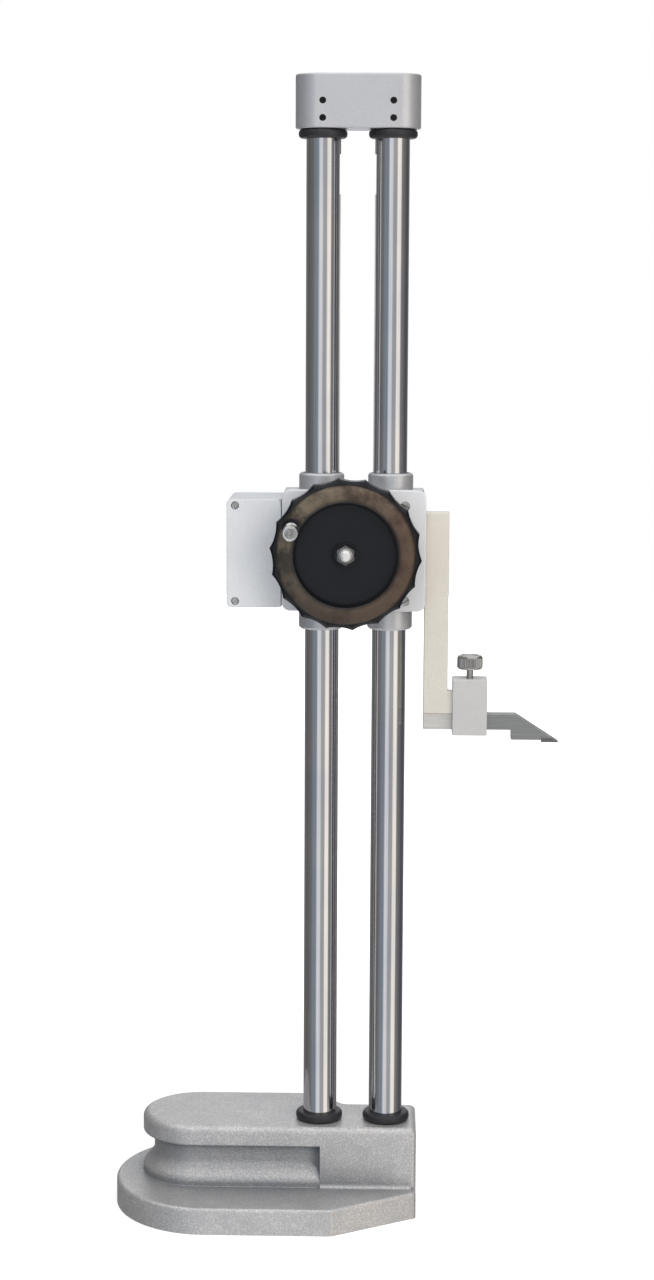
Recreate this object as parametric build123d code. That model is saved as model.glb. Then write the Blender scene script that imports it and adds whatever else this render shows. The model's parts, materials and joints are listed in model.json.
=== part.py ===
from build123d import *
import math
import os

os.makedirs("parts", exist_ok=True)

# Twin-column height gauge, millimetres.  +Z is up, +X is the side the scriber points to,
# +Y is the dial side and -Y is the handwheel side.  The origin lies on the ground face of
# the base, midway between the axes of the two columns.

# ---- columns and the bracket that ties their tops
column_d = 20.0
column_pitch = 42.0
column_foot_z = 20.0          # floor of the sockets in the base
column_chamfer = 1.0
bracket_z = 668.0             # underside of the top bracket
bracket_h = 32.0
bracket_l = 75.0
bracket_w = 29.0
bracket_edge = 1.2
column_top_gap = 1.0          # column ends stand this far below the bracket's top
set_screw_d = 4.0
set_screw_l = 3.6
set_screw_low = 5.9           # heights of the two rows above the bracket's underside
set_screw_high = 16.0
static_fit = 0.02             # radial clearance where one fixed piece sits in another
running_fit = 0.05            # radial clearance of shafts and guides
end_gap = 0.2                 # end play of shafts and buttons

# ---- racks let into the inner side of each column
tooth_pitch = 3.0
rack_w = 5.0
rack_proud = 1.15             # tooth tips above the column's surface
rack_floor = 6.5              # floor of the slot, from the column's axis
rack_z = 61.0
rack_teeth_top = 632.0
rack_land_z = 653.5           # plain land at the top end
rack_top = 662.0
tooth_play = 0.10

# ---- base casting
base_mid_y = 5.0
plate_t = 16.5
plate_half = 65.0
plate_right = 40.0
plate_nose_x = -90.0          # where the rounded nose begins
plate_nose = 59.5
plate_cut_x = -12.0           # where the sides turn in towards the right end
plate_end_half = 33.0
plate_edge = 2.0
plate_corner = 3.0
deck_z = 55.0
deck_rear = -21.0
deck_front = 51.0             # of the wide left part
deck_front_right = 29.5       # of the narrow right part
deck_step_x = -5.0
deck_step_run = 19.0
deck_nose_x = -97.5
deck_edge = 4.0
deck_step_round = 5.0
grip_depth = 7.0              # finger groove under the lip
grip_top = 42.4               # underside of the lip
grip_low = 19.2               # foot of the bulge below the groove
grip_lip_round = 1.4
grip_roof_round = 2.5
grip_cove = 5.0
grip_bulge = 6.0
grip_lean = 40.0              # degrees the slope leans from upright
grip_end_rear = -20.0
grip_end_front = -36.0
bolt_d = 8.0
bolt_head_d = 13.0
bolt_head_h = 8.0
bolt_sink = 9.0
bolt_grip = 14.0              # depth of the bolt in the column
relief_depth = 1.5
relief_l = 77.0
relief_w = 65.0
foot_cove = 2.5               # where the block meets the plate

# ---- rubber stop rings
ring_d = 29.2
ring_t = 5.5
ring_round = 2.3

# ---- carriage
wheel_z = 417.0               # axis of the handwheel at rest
boss_d = 27.5
boss_bottom = 367.5
boss_top = 463.0
boss_chamfer = 1.2
block_left = -43.5
block_right = 41.5
block_half_w = 15.0
block_bottom = 381.0
block_top = 453.0
block_corner = 4.0
bush_d = 23.0
bush_l = 20.0
bush_inset = 1.0
pocket_half = 14.0
pocket_front = 5.0
pocket_below = 24.0
pocket_above = 9.5
lug_right = 56.5
lug_bottom = 385.0
lug_top = 438.0
lug_front = 6.0

# ---- rear cover over the drive
cover_left = -44.5
cover_right = 42.5
cover_half_h = 36.8
cover_t = 5.0
cover_corner = 5.0
cover_edge = 0.8
cover_screw_half = 28.7
cover_screw_right = 29.7
cover_screw_left = -31.7
m3_head_d = 5.4
m3_head_h = 2.2
m3_sink = 1.6
m3_d = 3.0
m3_grip = 5.0

# ---- drive: shaft, pinion and handwheel
drive_teeth = 11
measure_teeth = 10
pinion_w = 4.4
shaft_d = 8.0
shaft_front_d = 5.0
shaft_front_end = 14.0
shaft_thread_d = 6.0
drive_bush_d = 13.0
drive_flange_d = 18.0
drive_flange_t = 1.5
drive_bush_inner = -8.0
wheel_gap = 1.0
hub_d = 24.0
hub_l = 8.0
wheel_d = 91.0
wheel_cusps = 18
wheel_cusp_deg = 15.5
scallop = 1.9
wheel_rim_t = 14.0
wheel_ring_d = 83.0
wheel_ring_rise = 4.0
wheel_ring_inner_d = 62.5
wheel_disc_sink = 2.6         # recessed disc below the rim's face
wheel_groove = 1.4
wheel_edge = 1.6
wheel_groove_w = 1.6
wheel_bore_edge = 1.2          # rounding of the ring towards the recess
wheel_crown_in = 2.0          # where the ring's crown turns down to the rim
wheel_crown_drop = 1.0
wheel_crown_end = 0.5
washer_d = 14.0
washer_t = 1.2
nut_af = 10.0
nut_h = 4.5
nut_dome_d = 8.2
nut_dome_h = 4.0
crank_r = 35.5
crank_deg = 155.0
knob_l = 21.0
knob_d = 9.4
knob_waist_d = 7.4
knob_collar_l = 2.6
crank_screw_d = 4.0
crank_head_d = 4.8
crank_head_sink = 0.8

# ---- measuring train to the dial
measure_shaft_d = 4.0
measure_bush_d = 9.0
measure_bush_sink = 2.5
dial_x = 1.0
dial_z = 414.7
train_module = 0.4
train_gear_teeth = 60
train_pinion_teeth = 10
train_gear_t = 2.0
train_pinion_t = 3.0
arbor_d = 1.6
train_plate_t = 2.0

# ---- dial and counter housing
housing_left = -78.05
housing_right = 40.0
housing_step = -45.0          # right side of the deep part beside the left column
housing_back = -13.0
housing_face = 36.0
housing_bottom = 381.8
housing_top = 447.6
housing_wall = 2.5
housing_corner = 3.0
back_cover_t = 4.0
back_screw_x = 5.1
back_screw_z = 3.8
well_d = 55.0
bezel_d = 62.0
bezel_h = 5.7
bezel_window_d = 50.4
bezel_spigot_d = 54.7
crystal_d = 56.6
crystal_t = 1.9
dial_t = 0.95
pointer_t = 0.8
pointer_l = 23.0
pointer_tail = 10.0
counter_r = 9.0
counter_w = 6.0
counter_gap = 0.4
counter_y = 23.8
counter_z_up = 432.0
counter_z_down = 412.0
counter_shaft_d = 3.0
window_w = 22.0
window_h = 8.5
window_t = 1.2
reset_d = 9.0
reset_h = 5.0
reset_travel = 1.5
reset_z = 391.5
reset_spacing = 13.0
reset_stem_d = 3.0

# ---- carriage lock on the lower right boss
lock_z = 374.8
lock_pad_boss_d = 11.0
lock_seat_y = 16.0
lock_d = 12.4
lock_h = 13.0
lock_stem_d = 4.0
lock_pad_l = 2.2

# ---- measuring arm, clamp box and scriber
arm_left = 41.9
arm_w = 14.8
arm_top = 440.0
arm_t = 9.0
arm_rear = -13.0
foot_z = 316.5
foot_h = 13.8
foot_right = 80.0
arm_screw_d = 4.0
arm_screw_head_d = 7.0
arm_screw_head_h = 4.0
arm_screw_spacing = 32.0
box_left = 59.7
box_w = 21.2
box_wall = 2.6
box_floor = 3.3
box_roof = 8.1
box_edge = 0.6
scriber_h = 9.5
scriber_left = 41.9
scriber_step_x = 95.8
scriber_step = 6.1
scriber_slope_x = 98.6
scriber_end_x = 124.9
scriber_nib = 3.0
tip_left = 114.3
tip_proud = 1.4
guide_gap = 0.08
thumb_d = 15.6
thumb_h = 8.3
thumb_shank_d = 4.0
thumb_lift = 5.6

# ---- worked out from the above
column_r = column_d / 2
column_x = column_pitch / 2
column_end = bracket_z + bracket_h - column_top_gap
module = tooth_pitch / math.pi
tip_x = column_x - column_r - rack_proud
pitch_x = tip_x + module
drive_r = drive_teeth * module / 2
drive_x = drive_r - pitch_x
measure_r = measure_teeth * module / 2
measure_x = pitch_x - measure_r
train_reach = train_module * (train_gear_teeth + train_pinion_teeth) / 2
measure_z = dial_z - math.sqrt(train_reach ** 2 - (measure_x - dial_x) ** 2)
train_angle = math.atan2(dial_z - measure_z, dial_x - measure_x)
cover_face = -block_half_w - cover_t
hub_rear = cover_face - drive_flange_t - wheel_gap
rim_front = hub_rear - hub_l
rim_rear = rim_front - wheel_rim_t
disc_y = rim_rear + wheel_disc_sink
ring_y = rim_rear - wheel_ring_rise
arm_mid = arm_rear + arm_t / 2
scriber_top = foot_z - guide_gap
scriber_bottom = scriber_top - scriber_h
box_z = scriber_bottom - guide_gap - box_floor
box_top = foot_z + foot_h + box_roof
thumb_x = box_left + box_w / 2
lock_x = column_x
counter_x = (housing_left + housing_step) / 2

lows = (Align.CENTER, Align.CENTER, Align.MIN)


def rod_z(d, z0, z1, x=0.0, y=0.0):
    return Pos(x, y, z0) * Cylinder(d / 2, z1 - z0, align=lows)


def rod_y(d, y0, y1, x=0.0, z=0.0):
    return Pos(x, y0, z) * Rot(-90, 0, 0) * Cylinder(d / 2, y1 - y0, align=lows)


def rod_x(d, x0, x1, y=0.0, z=0.0):
    return Pos(x0, y, z) * Rot(0, 90, 0) * Cylinder(d / 2, x1 - x0, align=lows)


def block(x0, x1, y0, y1, z0, z1):
    return Pos((x0 + x1) / 2, (y0 + y1) / 2, (z0 + z1) / 2) * Box(x1 - x0, y1 - y0, z1 - z0)


def plate_xz(x0, x1, z0, z1, y0, y1, corner):
    """A plate standing in the XZ plane with rounded corners."""
    shape = Plane.XZ * RectangleRounded(x1 - x0, z1 - z0, corner)
    return Pos((x0 + x1) / 2, y1, (z0 + z1) / 2) * extrude(shape, y1 - y0)


def turned_y(points, x, z):
    """A piece turned about an axis along Y, from (radius, y) points."""
    face = make_face(Polyline(*[(r, y) for r, y in points], close=True))
    return Pos(x, 0, z) * revolve(face, Axis.Y)


def pinion(teeth, mod, y0, y1, bore, x, z, first_deg):
    """A small gear on an axis along Y; each tooth is given by its half widths in modules."""
    r = teeth * mod / 2
    flank = [(r - 1.2 * mod, 0.75), (r, 0.72), (r + 0.5 * mod, 0.53), (r + mod, 0.26)]
    outline = []
    for k in range(teeth):
        mid = math.radians(first_deg) + 2 * math.pi * k / teeth
        for side, rows in ((-1, flank), (1, flank[::-1])):
            for rho, half in rows:
                turn = mid + side * math.asin(half * mod / rho)
                outline.append((rho * math.cos(turn), rho * math.sin(turn)))
    face = Plane.XZ * make_face(Polyline(*outline, close=True))
    return Pos(x, y1, z) * extrude(face, y1 - y0) - rod_y(bore, y0 - 1, y1 + 1, x, z)


def train_gear(teeth, mod, y0, y1, bore, x, z, first_deg):
    """The large gear of the train: straight flanks, one tooth pointing along first_deg."""
    r = teeth * mod / 2
    rows = [(r - 1.2 * mod, 1.0), (r + 0.95 * mod, 0.32)]
    outline = []
    for k in range(teeth):
        mid = math.radians(first_deg) + 2 * math.pi * k / teeth
        for side, order in ((-1, rows), (1, rows[::-1])):
            for rho, half in order:
                turn = mid + side * math.asin(half * mod / rho)
                outline.append((rho * math.cos(turn), rho * math.sin(turn)))
    face = Plane.XZ * make_face(Polyline(*outline, close=True))
    return Pos(x, y1, z) * extrude(face, y1 - y0) - rod_y(bore, y0 - 1, y1 + 1, x, z)


# ---------------------------------------------------------------- base
def plate_outline():
    rear, front = base_mid_y - plate_half, base_mid_y + plate_half
    end_rear, end_front = base_mid_y - plate_end_half, base_mid_y + plate_end_half
    sides = [
        Line((plate_nose_x, rear), (plate_cut_x, rear)),
        Line((plate_cut_x, rear), (plate_right, end_rear)),
        Line((plate_right, end_rear), (plate_right, end_front)),
        Line((plate_right, end_front), (plate_cut_x, front)),
        Line((plate_cut_x, front), (plate_nose_x, front)),
    ]
    nose = EllipticalCenterArc((plate_nose_x, base_mid_y), plate_nose, plate_half, 90, arc_size=180)
    return make_face(sides + [nose])


def deck_outline():
    radius = (deck_front - deck_rear) / 2
    mid = (deck_front + deck_rear) / 2
    step_left = deck_step_x - deck_step_run
    sides = [
        Line((deck_nose_x, deck_rear), (plate_right, deck_rear)),
        Line((plate_right, deck_rear), (plate_right, deck_front_right)),
        Line((plate_right, deck_front_right), (deck_step_x, deck_front_right)),
        Line((deck_step_x, deck_front_right), (step_left, deck_front)),
        Line((step_left, deck_front), (deck_nose_x, deck_front)),
    ]
    nose = ThreePointArc(
        (deck_nose_x, deck_front), (deck_nose_x - radius, mid), (deck_nose_x, deck_rear)
    )
    return make_face(sides + [nose])


def arc_between(start, centre, end):
    """A short arc from start to end about a centre."""
    radius = math.dist(start, centre)
    mid_x = (start[0] + end[0]) / 2 - centre[0]
    mid_z = (start[1] + end[1]) / 2 - centre[1]
    reach = radius / math.hypot(mid_x, mid_z)
    return ThreePointArc(start, (centre[0] + mid_x * reach, centre[1] + mid_z * reach), end)


def grip_section(side, inward):
    """The groove's section, cut inward from a side face: a round lip, a wall, a cove and a bulge."""
    lean = math.radians(grip_lean)
    bulge_in = grip_bulge * (1 - math.cos(lean))
    bulge_z = grip_low + grip_bulge * math.sin(lean)
    cove_in = grip_depth - grip_cove * (1 - math.cos(lean))
    cove_z = bulge_z + (cove_in - bulge_in) / math.tan(lean)
    wall_z = cove_z + grip_cove * math.sin(lean)
    roof_in = grip_depth - grip_roof_round
    lip_z = grip_top + grip_lip_round

    def at(depth, z):
        return side + inward * depth, z

    foot, bulge, cove = at(0, grip_low), at(bulge_in, bulge_z), at(cove_in, cove_z)
    wall_low, wall_high = at(grip_depth, wall_z), at(grip_depth, grip_top - grip_roof_round)
    roof, lip, lip_face = at(roof_in, grip_top), at(grip_lip_round, grip_top), at(0, lip_z)
    outside_low, outside_high = at(-1, grip_low), at(-1, lip_z)
    return make_face(
        [
            Line(outside_low, foot),
            arc_between(foot, at(grip_bulge, grip_low), bulge),
            Line(bulge, cove),
            arc_between(cove, at(grip_depth - grip_cove, wall_z), wall_low),
            Line(wall_low, wall_high),
            arc_between(wall_high, at(roof_in, grip_top - grip_roof_round), roof),
            Line(roof, lip),
            arc_between(lip, at(grip_lip_round, lip_z), lip_face),
            Line(lip_face, outside_high),
            Line(outside_high, outside_low),
        ]
    )


def grip_groove():
    """The finger groove, along both sides and round the nose."""
    mid = (deck_front + deck_rear) / 2
    radius = (deck_front - deck_rear) / 2
    far_left, far_front = plate_nose_x - plate_nose, base_mid_y + plate_half
    ring = revolve(Plane.XZ * grip_section(radius, -1), Axis.Z)
    band = Pos(deck_nose_x, mid, 0) * ring & block(far_left, deck_nose_x, -far_front, far_front, 0, deck_z)
    rear = extrude(Plane.YZ * grip_section(deck_rear, 1), grip_end_rear - deck_nose_x)
    front = extrude(Plane.YZ * grip_section(deck_front, -1), grip_end_front - deck_nose_x)
    band += Pos(deck_nose_x, 0, 0) * rear
    band += Pos(deck_nose_x, 0, 0) * front
    rear_x, front_x = grip_end_rear - grip_depth, grip_end_front - grip_depth
    reach = block(far_left, rear_x, -far_front, mid, 0, deck_z)
    reach += block(far_left, front_x, mid, far_front, 0, deck_z)
    reach += rod_z(2 * grip_depth, 0, deck_z, rear_x, deck_rear)
    reach += rod_z(2 * grip_depth, 0, deck_z, front_x, deck_front)
    return band & reach


def foot_run(side, outward, x0, x1):
    """A cove along the foot of one of the block's straight sides."""
    low, high = (side + outward * foot_cove, plate_t), (side, plate_t + foot_cove)
    inside = side - outward * foot_cove
    section = make_face(
        [
            arc_between(low, (low[0], high[1]), high),
            Line(high, (inside, high[1])),
            Line((inside, high[1]), (inside, plate_t - foot_cove)),
            Line((inside, plate_t - foot_cove), (low[0], plate_t - foot_cove)),
            Line((low[0], plate_t - foot_cove), low),
        ]
    )
    return Pos(x0, 0, 0) * extrude(Plane.YZ * section, x1 - x0)


def make_base():
    plate = extrude(plate_outline(), plate_t)
    corners = plate.edges().filter_by(Axis.Z).filter_by_position(
        Axis.X, plate_cut_x - 1, plate_right + 1
    )
    plate = fillet(corners, plate_corner)
    plate = fillet(plate.faces().sort_by(Axis.Z)[-1].edges(), plate_edge)
    upper = Pos(0, 0, plate_t) * extrude(deck_outline(), deck_z - plate_t)
    right = upper.edges().filter_by(Axis.Z).filter_by_position(
        Axis.X, plate_right - 1, plate_right + 1
    )
    upper = fillet(right, plate_corner)
    steps = upper.edges().filter_by(Axis.Z).filter_by_position(
        Axis.X, deck_step_x - deck_step_run - 1, deck_step_x + 1
    )
    upper = fillet(steps, deck_step_round)
    upper = fillet(upper.faces().sort_by(Axis.Z)[-1].edges(), deck_edge)
    upper -= grip_groove()
    body = plate + upper
    run_end = plate_right - plate_corner
    step_left = deck_step_x - deck_step_run
    body += foot_run(deck_rear, -1, grip_end_rear, run_end)
    body += foot_run(deck_front_right, 1, deck_step_x + deck_step_round / 2, run_end)
    body += foot_run(deck_front, 1, grip_end_front, step_left - deck_step_round / 2)
    for side in (-1, 1):
        x = side * column_x
        body -= rod_z(column_d + 2 * static_fit, column_foot_z, deck_z + 1, x)
        body -= rod_z(bolt_d + 1.0, -1, column_foot_z + 1, x)
        body -= rod_z(bolt_head_d + 1.0, -1, bolt_sink, x)
    relief = Pos((plate_nose_x + grip_end_front) / 2, base_mid_y, 0) * extrude(
        SlotOverall(relief_l, relief_w), relief_depth
    )
    return body - relief


def make_column(side):
    x = side * column_x
    bar = rod_z(column_d, column_foot_z, column_end, x)
    ends = bar.edges().filter_by(GeomType.CIRCLE)
    bar = chamfer(ends, column_chamfer)
    half = rack_w / 2 + static_fit
    inner, outer = rack_floor, column_r + 1
    spans = sorted((x - side * inner, x - side * outer))
    bar -= block(spans[0], spans[1], -half, half, rack_z, rack_top)
    return bar - rod_z(bolt_d + 2 * static_fit, column_foot_z - 1, column_foot_z + bolt_grip + 1, x)


def make_rack(side, mesh_z):
    """Rack bar with straight-flanked teeth; a tooth space lies at mesh_z."""
    tip = column_r + rack_proud
    root = tip - 2.25 * module
    lean = math.tan(math.radians(20))
    half_root = tooth_pitch / 4 + 1.25 * module * lean - tooth_play / 2
    half_tip = tooth_pitch / 4 - module * lean - tooth_play / 2
    first = math.ceil((rack_z + tooth_pitch - mesh_z) / tooth_pitch)
    last = math.floor((rack_teeth_top - tooth_pitch - mesh_z) / tooth_pitch)
    outline = [(rack_floor, rack_z), (root, rack_z)]
    for k in range(first, last):
        z = mesh_z + (k + 0.5) * tooth_pitch
        outline += [(root, z - half_root), (tip, z - half_tip)]
        outline += [(tip, z + half_tip), (root, z + half_root)]
    outline += [(root, rack_land_z), (tip, rack_land_z), (tip, rack_top), (rack_floor, rack_top)]
    placed = [(side * (column_x - u), z) for u, z in outline]
    face = Plane.XZ * make_face(Polyline(*placed, close=True))
    return Pos(0, rack_w / 2, 0) * extrude(face, rack_w)


def make_rings(z0):
    ring = Cylinder(ring_d / 2, ring_t, align=lows)
    ring = fillet(ring.edges().filter_by(GeomType.CIRCLE), ring_round)
    ring -= Pos(0, 0, -1) * Cylinder(column_r + static_fit, ring_t + 2, align=lows)
    return [Pos(side * column_x, 0, z0) * ring for side in (-1, 1)]


def set_screw_places():
    for side in (-1, 1):
        for up in (set_screw_low, set_screw_high):
            yield side * column_x, bracket_z + up


def make_bracket():
    body = Pos(0, 0, bracket_z) * extrude(SlotOverall(bracket_l, bracket_w), bracket_h)
    body = fillet(body.edges().filter_by(Axis.Z, reverse=True), bracket_edge)
    for side in (-1, 1):
        body -= rod_z(column_d + 2 * static_fit, bracket_z - 1, bracket_z + bracket_h + 1, side * column_x)
    for x, z in set_screw_places():
        body -= rod_y(set_screw_d + 2 * static_fit, -bracket_w, 0, x, z)
    return body


def make_set_screws():
    screws = []
    tip = -column_r - running_fit
    for x, z in set_screw_places():
        screw = rod_y(set_screw_d, tip - set_screw_l, tip - 0.6, x, z)
        screw += rod_y(set_screw_d - 1.6, tip - 0.6, tip, x, z)
        key = Plane.XZ * RegularPolygon(set_screw_d / 4, 6)
        screws.append(screw - Pos(x, tip - set_screw_l + 1.4, z) * extrude(key, 2))
    return screws


def make_column_bolts():
    bolts = []
    head_top = bolt_sink
    for side in (-1, 1):
        x = side * column_x
        bolt = rod_z(bolt_head_d, head_top - bolt_head_h, head_top, x)
        bolt += rod_z(bolt_d, head_top, column_foot_z + bolt_grip, x)
        key = Pos(x, 0, head_top - bolt_head_h) * extrude(RegularPolygon(bolt_d / 2.3, 6), bolt_d / 2)
        bolts.append(bolt - key)
    return bolts


# ---------------------------------------------------------------- carriage
def make_carriage_body():
    body = plate_xz(block_left, block_right, block_bottom, block_top, -block_half_w, block_half_w, 1.5)
    uprights = body.edges().filter_by(Axis.Y, reverse=True).filter_by(Axis.Z)
    body = fillet(uprights, block_corner)
    for side in (-1, 1):
        boss = rod_z(boss_d, boss_bottom, boss_top, side * column_x)
        body += chamfer(boss.edges().filter_by(GeomType.CIRCLE), boss_chamfer)
    body += block(block_right - 2, lug_right, arm_rear + arm_t, lug_front, lug_bottom, lug_top)
    body += rod_y(lock_pad_boss_d, 0, lock_seat_y, lock_x, lock_z)
    for side in (-1, 1):
        body -= rod_z(bush_d + 2 * static_fit, boss_bottom - 1, boss_top + 1, side * column_x)
    body -= block(
        -pocket_half, pocket_half, -block_half_w, pocket_front, wheel_z - pocket_below, wheel_z + pocket_above
    )
    body -= rod_y(shaft_front_d + 5, 0, block_half_w + 1, drive_x, wheel_z)
    body -= rod_y(measure_bush_d + 2 * static_fit, 0, block_half_w + 1, measure_x, measure_z)
    body -= rod_y(lock_stem_d + 2 * running_fit, 0, lock_seat_y + 1, lock_x, lock_z)
    for x, z in cover_screw_places():
        body -= rod_y(m3_d + 2 * static_fit, -block_half_w - 1, -block_half_w + m3_grip, x, z)
    for z in arm_screw_heights():
        body -= rod_y(arm_screw_d + 2 * static_fit, arm_rear, lug_front + 1, arm_left + arm_w / 2, z)
    return body


def make_column_bushes():
    bushes = []
    spans = (
        (boss_bottom + bush_inset, boss_bottom + bush_inset + bush_l),
        (boss_top - bush_inset - bush_l, boss_top - bush_inset),
    )
    for side in (-1, 1):
        x = side * column_x
        slot_x = sorted((x, x - side * bush_d))
        for low, high in spans:
            bush = rod_z(bush_d, low, high, x) - rod_z(column_d + 2 * running_fit, low - 1, high + 1, x)
            bush -= block(slot_x[0], slot_x[1], -rack_w / 2 - 0.4, rack_w / 2 + 0.4, low - 1, high + 1)
            bushes.append(bush - rod_y(lock_stem_d + 0.4, 0, bush_d, lock_x, lock_z))
    return bushes


def cover_screw_places():
    mid = (boss_bottom + boss_top) / 2
    for x in (cover_screw_left, cover_screw_right):
        for side in (-1, 1):
            yield x, mid + side * cover_screw_half


def make_rear_cover():
    body = plate_xz(
        cover_left, cover_right, wheel_z - cover_half_h, wheel_z + cover_half_h,
        cover_face, -block_half_w, cover_corner,
    )
    body = fillet(body.faces().sort_by(Axis.Y)[0].edges(), cover_edge)
    body -= rod_y(drive_bush_d + 2 * static_fit, cover_face - 1, 0, drive_x, wheel_z)
    body -= rod_y(
        measure_bush_d + 2 * static_fit, -block_half_w - measure_bush_sink, 0, measure_x, measure_z
    )
    for x, z in cover_screw_places():
        body -= rod_y(m3_d + 2 * static_fit, cover_face - 1, 0, x, z)
        body -= rod_y(m3_head_d + 0.4, cover_face - 1, cover_face + m3_sink, x, z)
    return body


def cheese_screw(x, z, head_y, head_d, head_h, d, length):
    """A slotted cheese-head screw pointing along +Y; head_y is where its head seats."""
    screw = rod_y(head_d, head_y - head_h, head_y, x, z) + rod_y(d, head_y, head_y + length, x, z)
    slot = Pos(x, head_y - head_h, z) * Rot(0, 35, 0) * Box(head_d * 1.2, head_h * 0.9, head_d * 0.18)
    return screw - slot


def make_cover_screws():
    seat = cover_face + m3_sink
    length = m3_grip + cover_t - m3_sink - 0.5
    return [
        cheese_screw(x, z, seat, m3_head_d, m3_head_h, m3_d, length) for x, z in cover_screw_places()
    ]


def make_drive_bushes():
    rear = rod_y(drive_bush_d, cover_face, drive_bush_inner, drive_x, wheel_z)
    rear += rod_y(drive_flange_d, cover_face - drive_flange_t, cover_face, drive_x, wheel_z)
    rear -= rod_y(shaft_d + 2 * running_fit, cover_face - 5, 0, drive_x, wheel_z)
    front = rod_y(shaft_front_d + 5 - 2 * static_fit, pocket_front + 1, block_half_w, drive_x, wheel_z)
    front -= rod_y(shaft_front_d + 2 * running_fit, 0, block_half_w + 1, drive_x, wheel_z)
    return [rear, front]


def make_measure_bushes():
    spans = ((-block_half_w - measure_bush_sink, -block_half_w + 5), (pocket_front + 1, block_half_w))
    bushes = []
    for low, high in spans:
        bush = rod_y(measure_bush_d, low, high, measure_x, measure_z)
        bore = rod_y(measure_shaft_d + 2 * running_fit, low - 1, high + 1, measure_x, measure_z)
        bushes.append(bush - bore)
    return bushes


# ---------------------------------------------------------------- drive
def make_drive_shaft():
    shoulder = -pinion_w / 2
    shaft = rod_y(shaft_d, hub_rear, shoulder, drive_x, wheel_z)
    shaft += rod_y(shaft_front_d, shoulder, shaft_front_end, drive_x, wheel_z)
    thread_end = disc_y - washer_t - nut_h
    return shaft + rod_y(shaft_thread_d, thread_end, hub_rear, drive_x, wheel_z)


def make_drive_pinion():
    gear = pinion(
        drive_teeth, module, -pinion_w / 2, pinion_w / 2, shaft_front_d + 2 * static_fit,
        drive_x, wheel_z, 180,
    )
    collar = rod_y(2 * drive_r - 3 * module, pinion_w / 2, pocket_front + 0.7, drive_x, wheel_z)
    bore = rod_y(shaft_front_d + 2 * static_fit, -pinion_w, block_half_w, drive_x, wheel_z)
    return gear + (collar - bore)


def scalloped_disc():
    """Outline with concave arcs between equal cusps."""
    outer = wheel_d / 2
    step = 360 / wheel_cusps
    arcs = []
    for k in range(wheel_cusps):
        a, b = wheel_cusp_deg + k * step, wheel_cusp_deg + (k + 1) * step
        mid = (a + b) / 2
        points = [
            (r * math.cos(math.radians(t)), r * math.sin(math.radians(t)))
            for r, t in ((outer, a), (outer - scallop, mid), (outer, b))
        ]
        arcs.append(ThreePointArc(*points))
    return make_face(arcs)


def make_handwheel():
    rim = Pos(drive_x, rim_front, wheel_z) * extrude(Plane.XZ * scalloped_disc(), wheel_rim_t)
    rim = chamfer(rim.faces().sort_by(Axis.Y)[0].edges(), wheel_edge)
    ring_r, inner_r = wheel_ring_d / 2, wheel_ring_inner_d / 2
    shoulder = (ring_r - wheel_crown_in, ring_y + wheel_crown_drop)
    low_crown = (ring_r - wheel_crown_end, ring_y + wheel_ring_rise / 2)
    rim -= rod_y(2 * inner_r, rim_rear - 1, disc_y, drive_x, wheel_z)
    crown = ((ring_r + inner_r) / 2 - wheel_crown_drop, ring_y)
    bore_edge = (inner_r, ring_y + wheel_bore_edge)
    profile = make_face(
        [
            Line((inner_r, disc_y), bore_edge),
            ThreePointArc(bore_edge, crown, shoulder),
            ThreePointArc(shoulder, low_crown, (ring_r, rim_rear)),
            Line((ring_r, rim_rear), (ring_r, disc_y)),
            Line((ring_r, disc_y), (inner_r, disc_y)),
        ]
    )
    rim += Pos(drive_x, 0, wheel_z) * revolve(profile, Axis.Y)
    groove = rod_y(2 * inner_r, disc_y - 1, disc_y + wheel_groove, drive_x, wheel_z)
    groove -= rod_y(2 * (inner_r - wheel_groove_w), disc_y - 2, disc_y + wheel_groove + 1, drive_x, wheel_z)
    rim -= groove
    rim += rod_y(hub_d, rim_front, hub_rear, drive_x, wheel_z)
    rim -= rod_y(shaft_thread_d + 2 * static_fit, ring_y - 1, hub_rear + 1, drive_x, wheel_z)
    x, z = crank_place()
    return rim - rod_y(crank_screw_d + 2 * static_fit, ring_y - 1, rim_front - 3, x, z)


def crank_place():
    turn = math.radians(crank_deg)
    return drive_x + crank_r * math.cos(turn), wheel_z + crank_r * math.sin(turn)


def make_wheel_washer():
    washer = rod_y(washer_d, disc_y - washer_t, disc_y, drive_x, wheel_z)
    return washer - rod_y(shaft_thread_d + 2 * static_fit, disc_y - 5, disc_y + 1, drive_x, wheel_z)


def make_cap_nut():
    seat = disc_y - washer_t
    hexagon = Plane.XZ * RegularPolygon(nut_af / 2, 6, major_radius=False, rotation=30)
    nut = Pos(drive_x, seat, wheel_z) * extrude(hexagon, nut_h)
    dome = rod_y(nut_dome_d, seat - nut_h - nut_dome_h, seat - nut_h, drive_x, wheel_z)
    nut += fillet(dome.faces().sort_by(Axis.Y)[0].edges(), nut_dome_d * 0.42)
    return nut - rod_y(shaft_thread_d + 2 * static_fit, seat - nut_h, seat + 1, drive_x, wheel_z)


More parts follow.
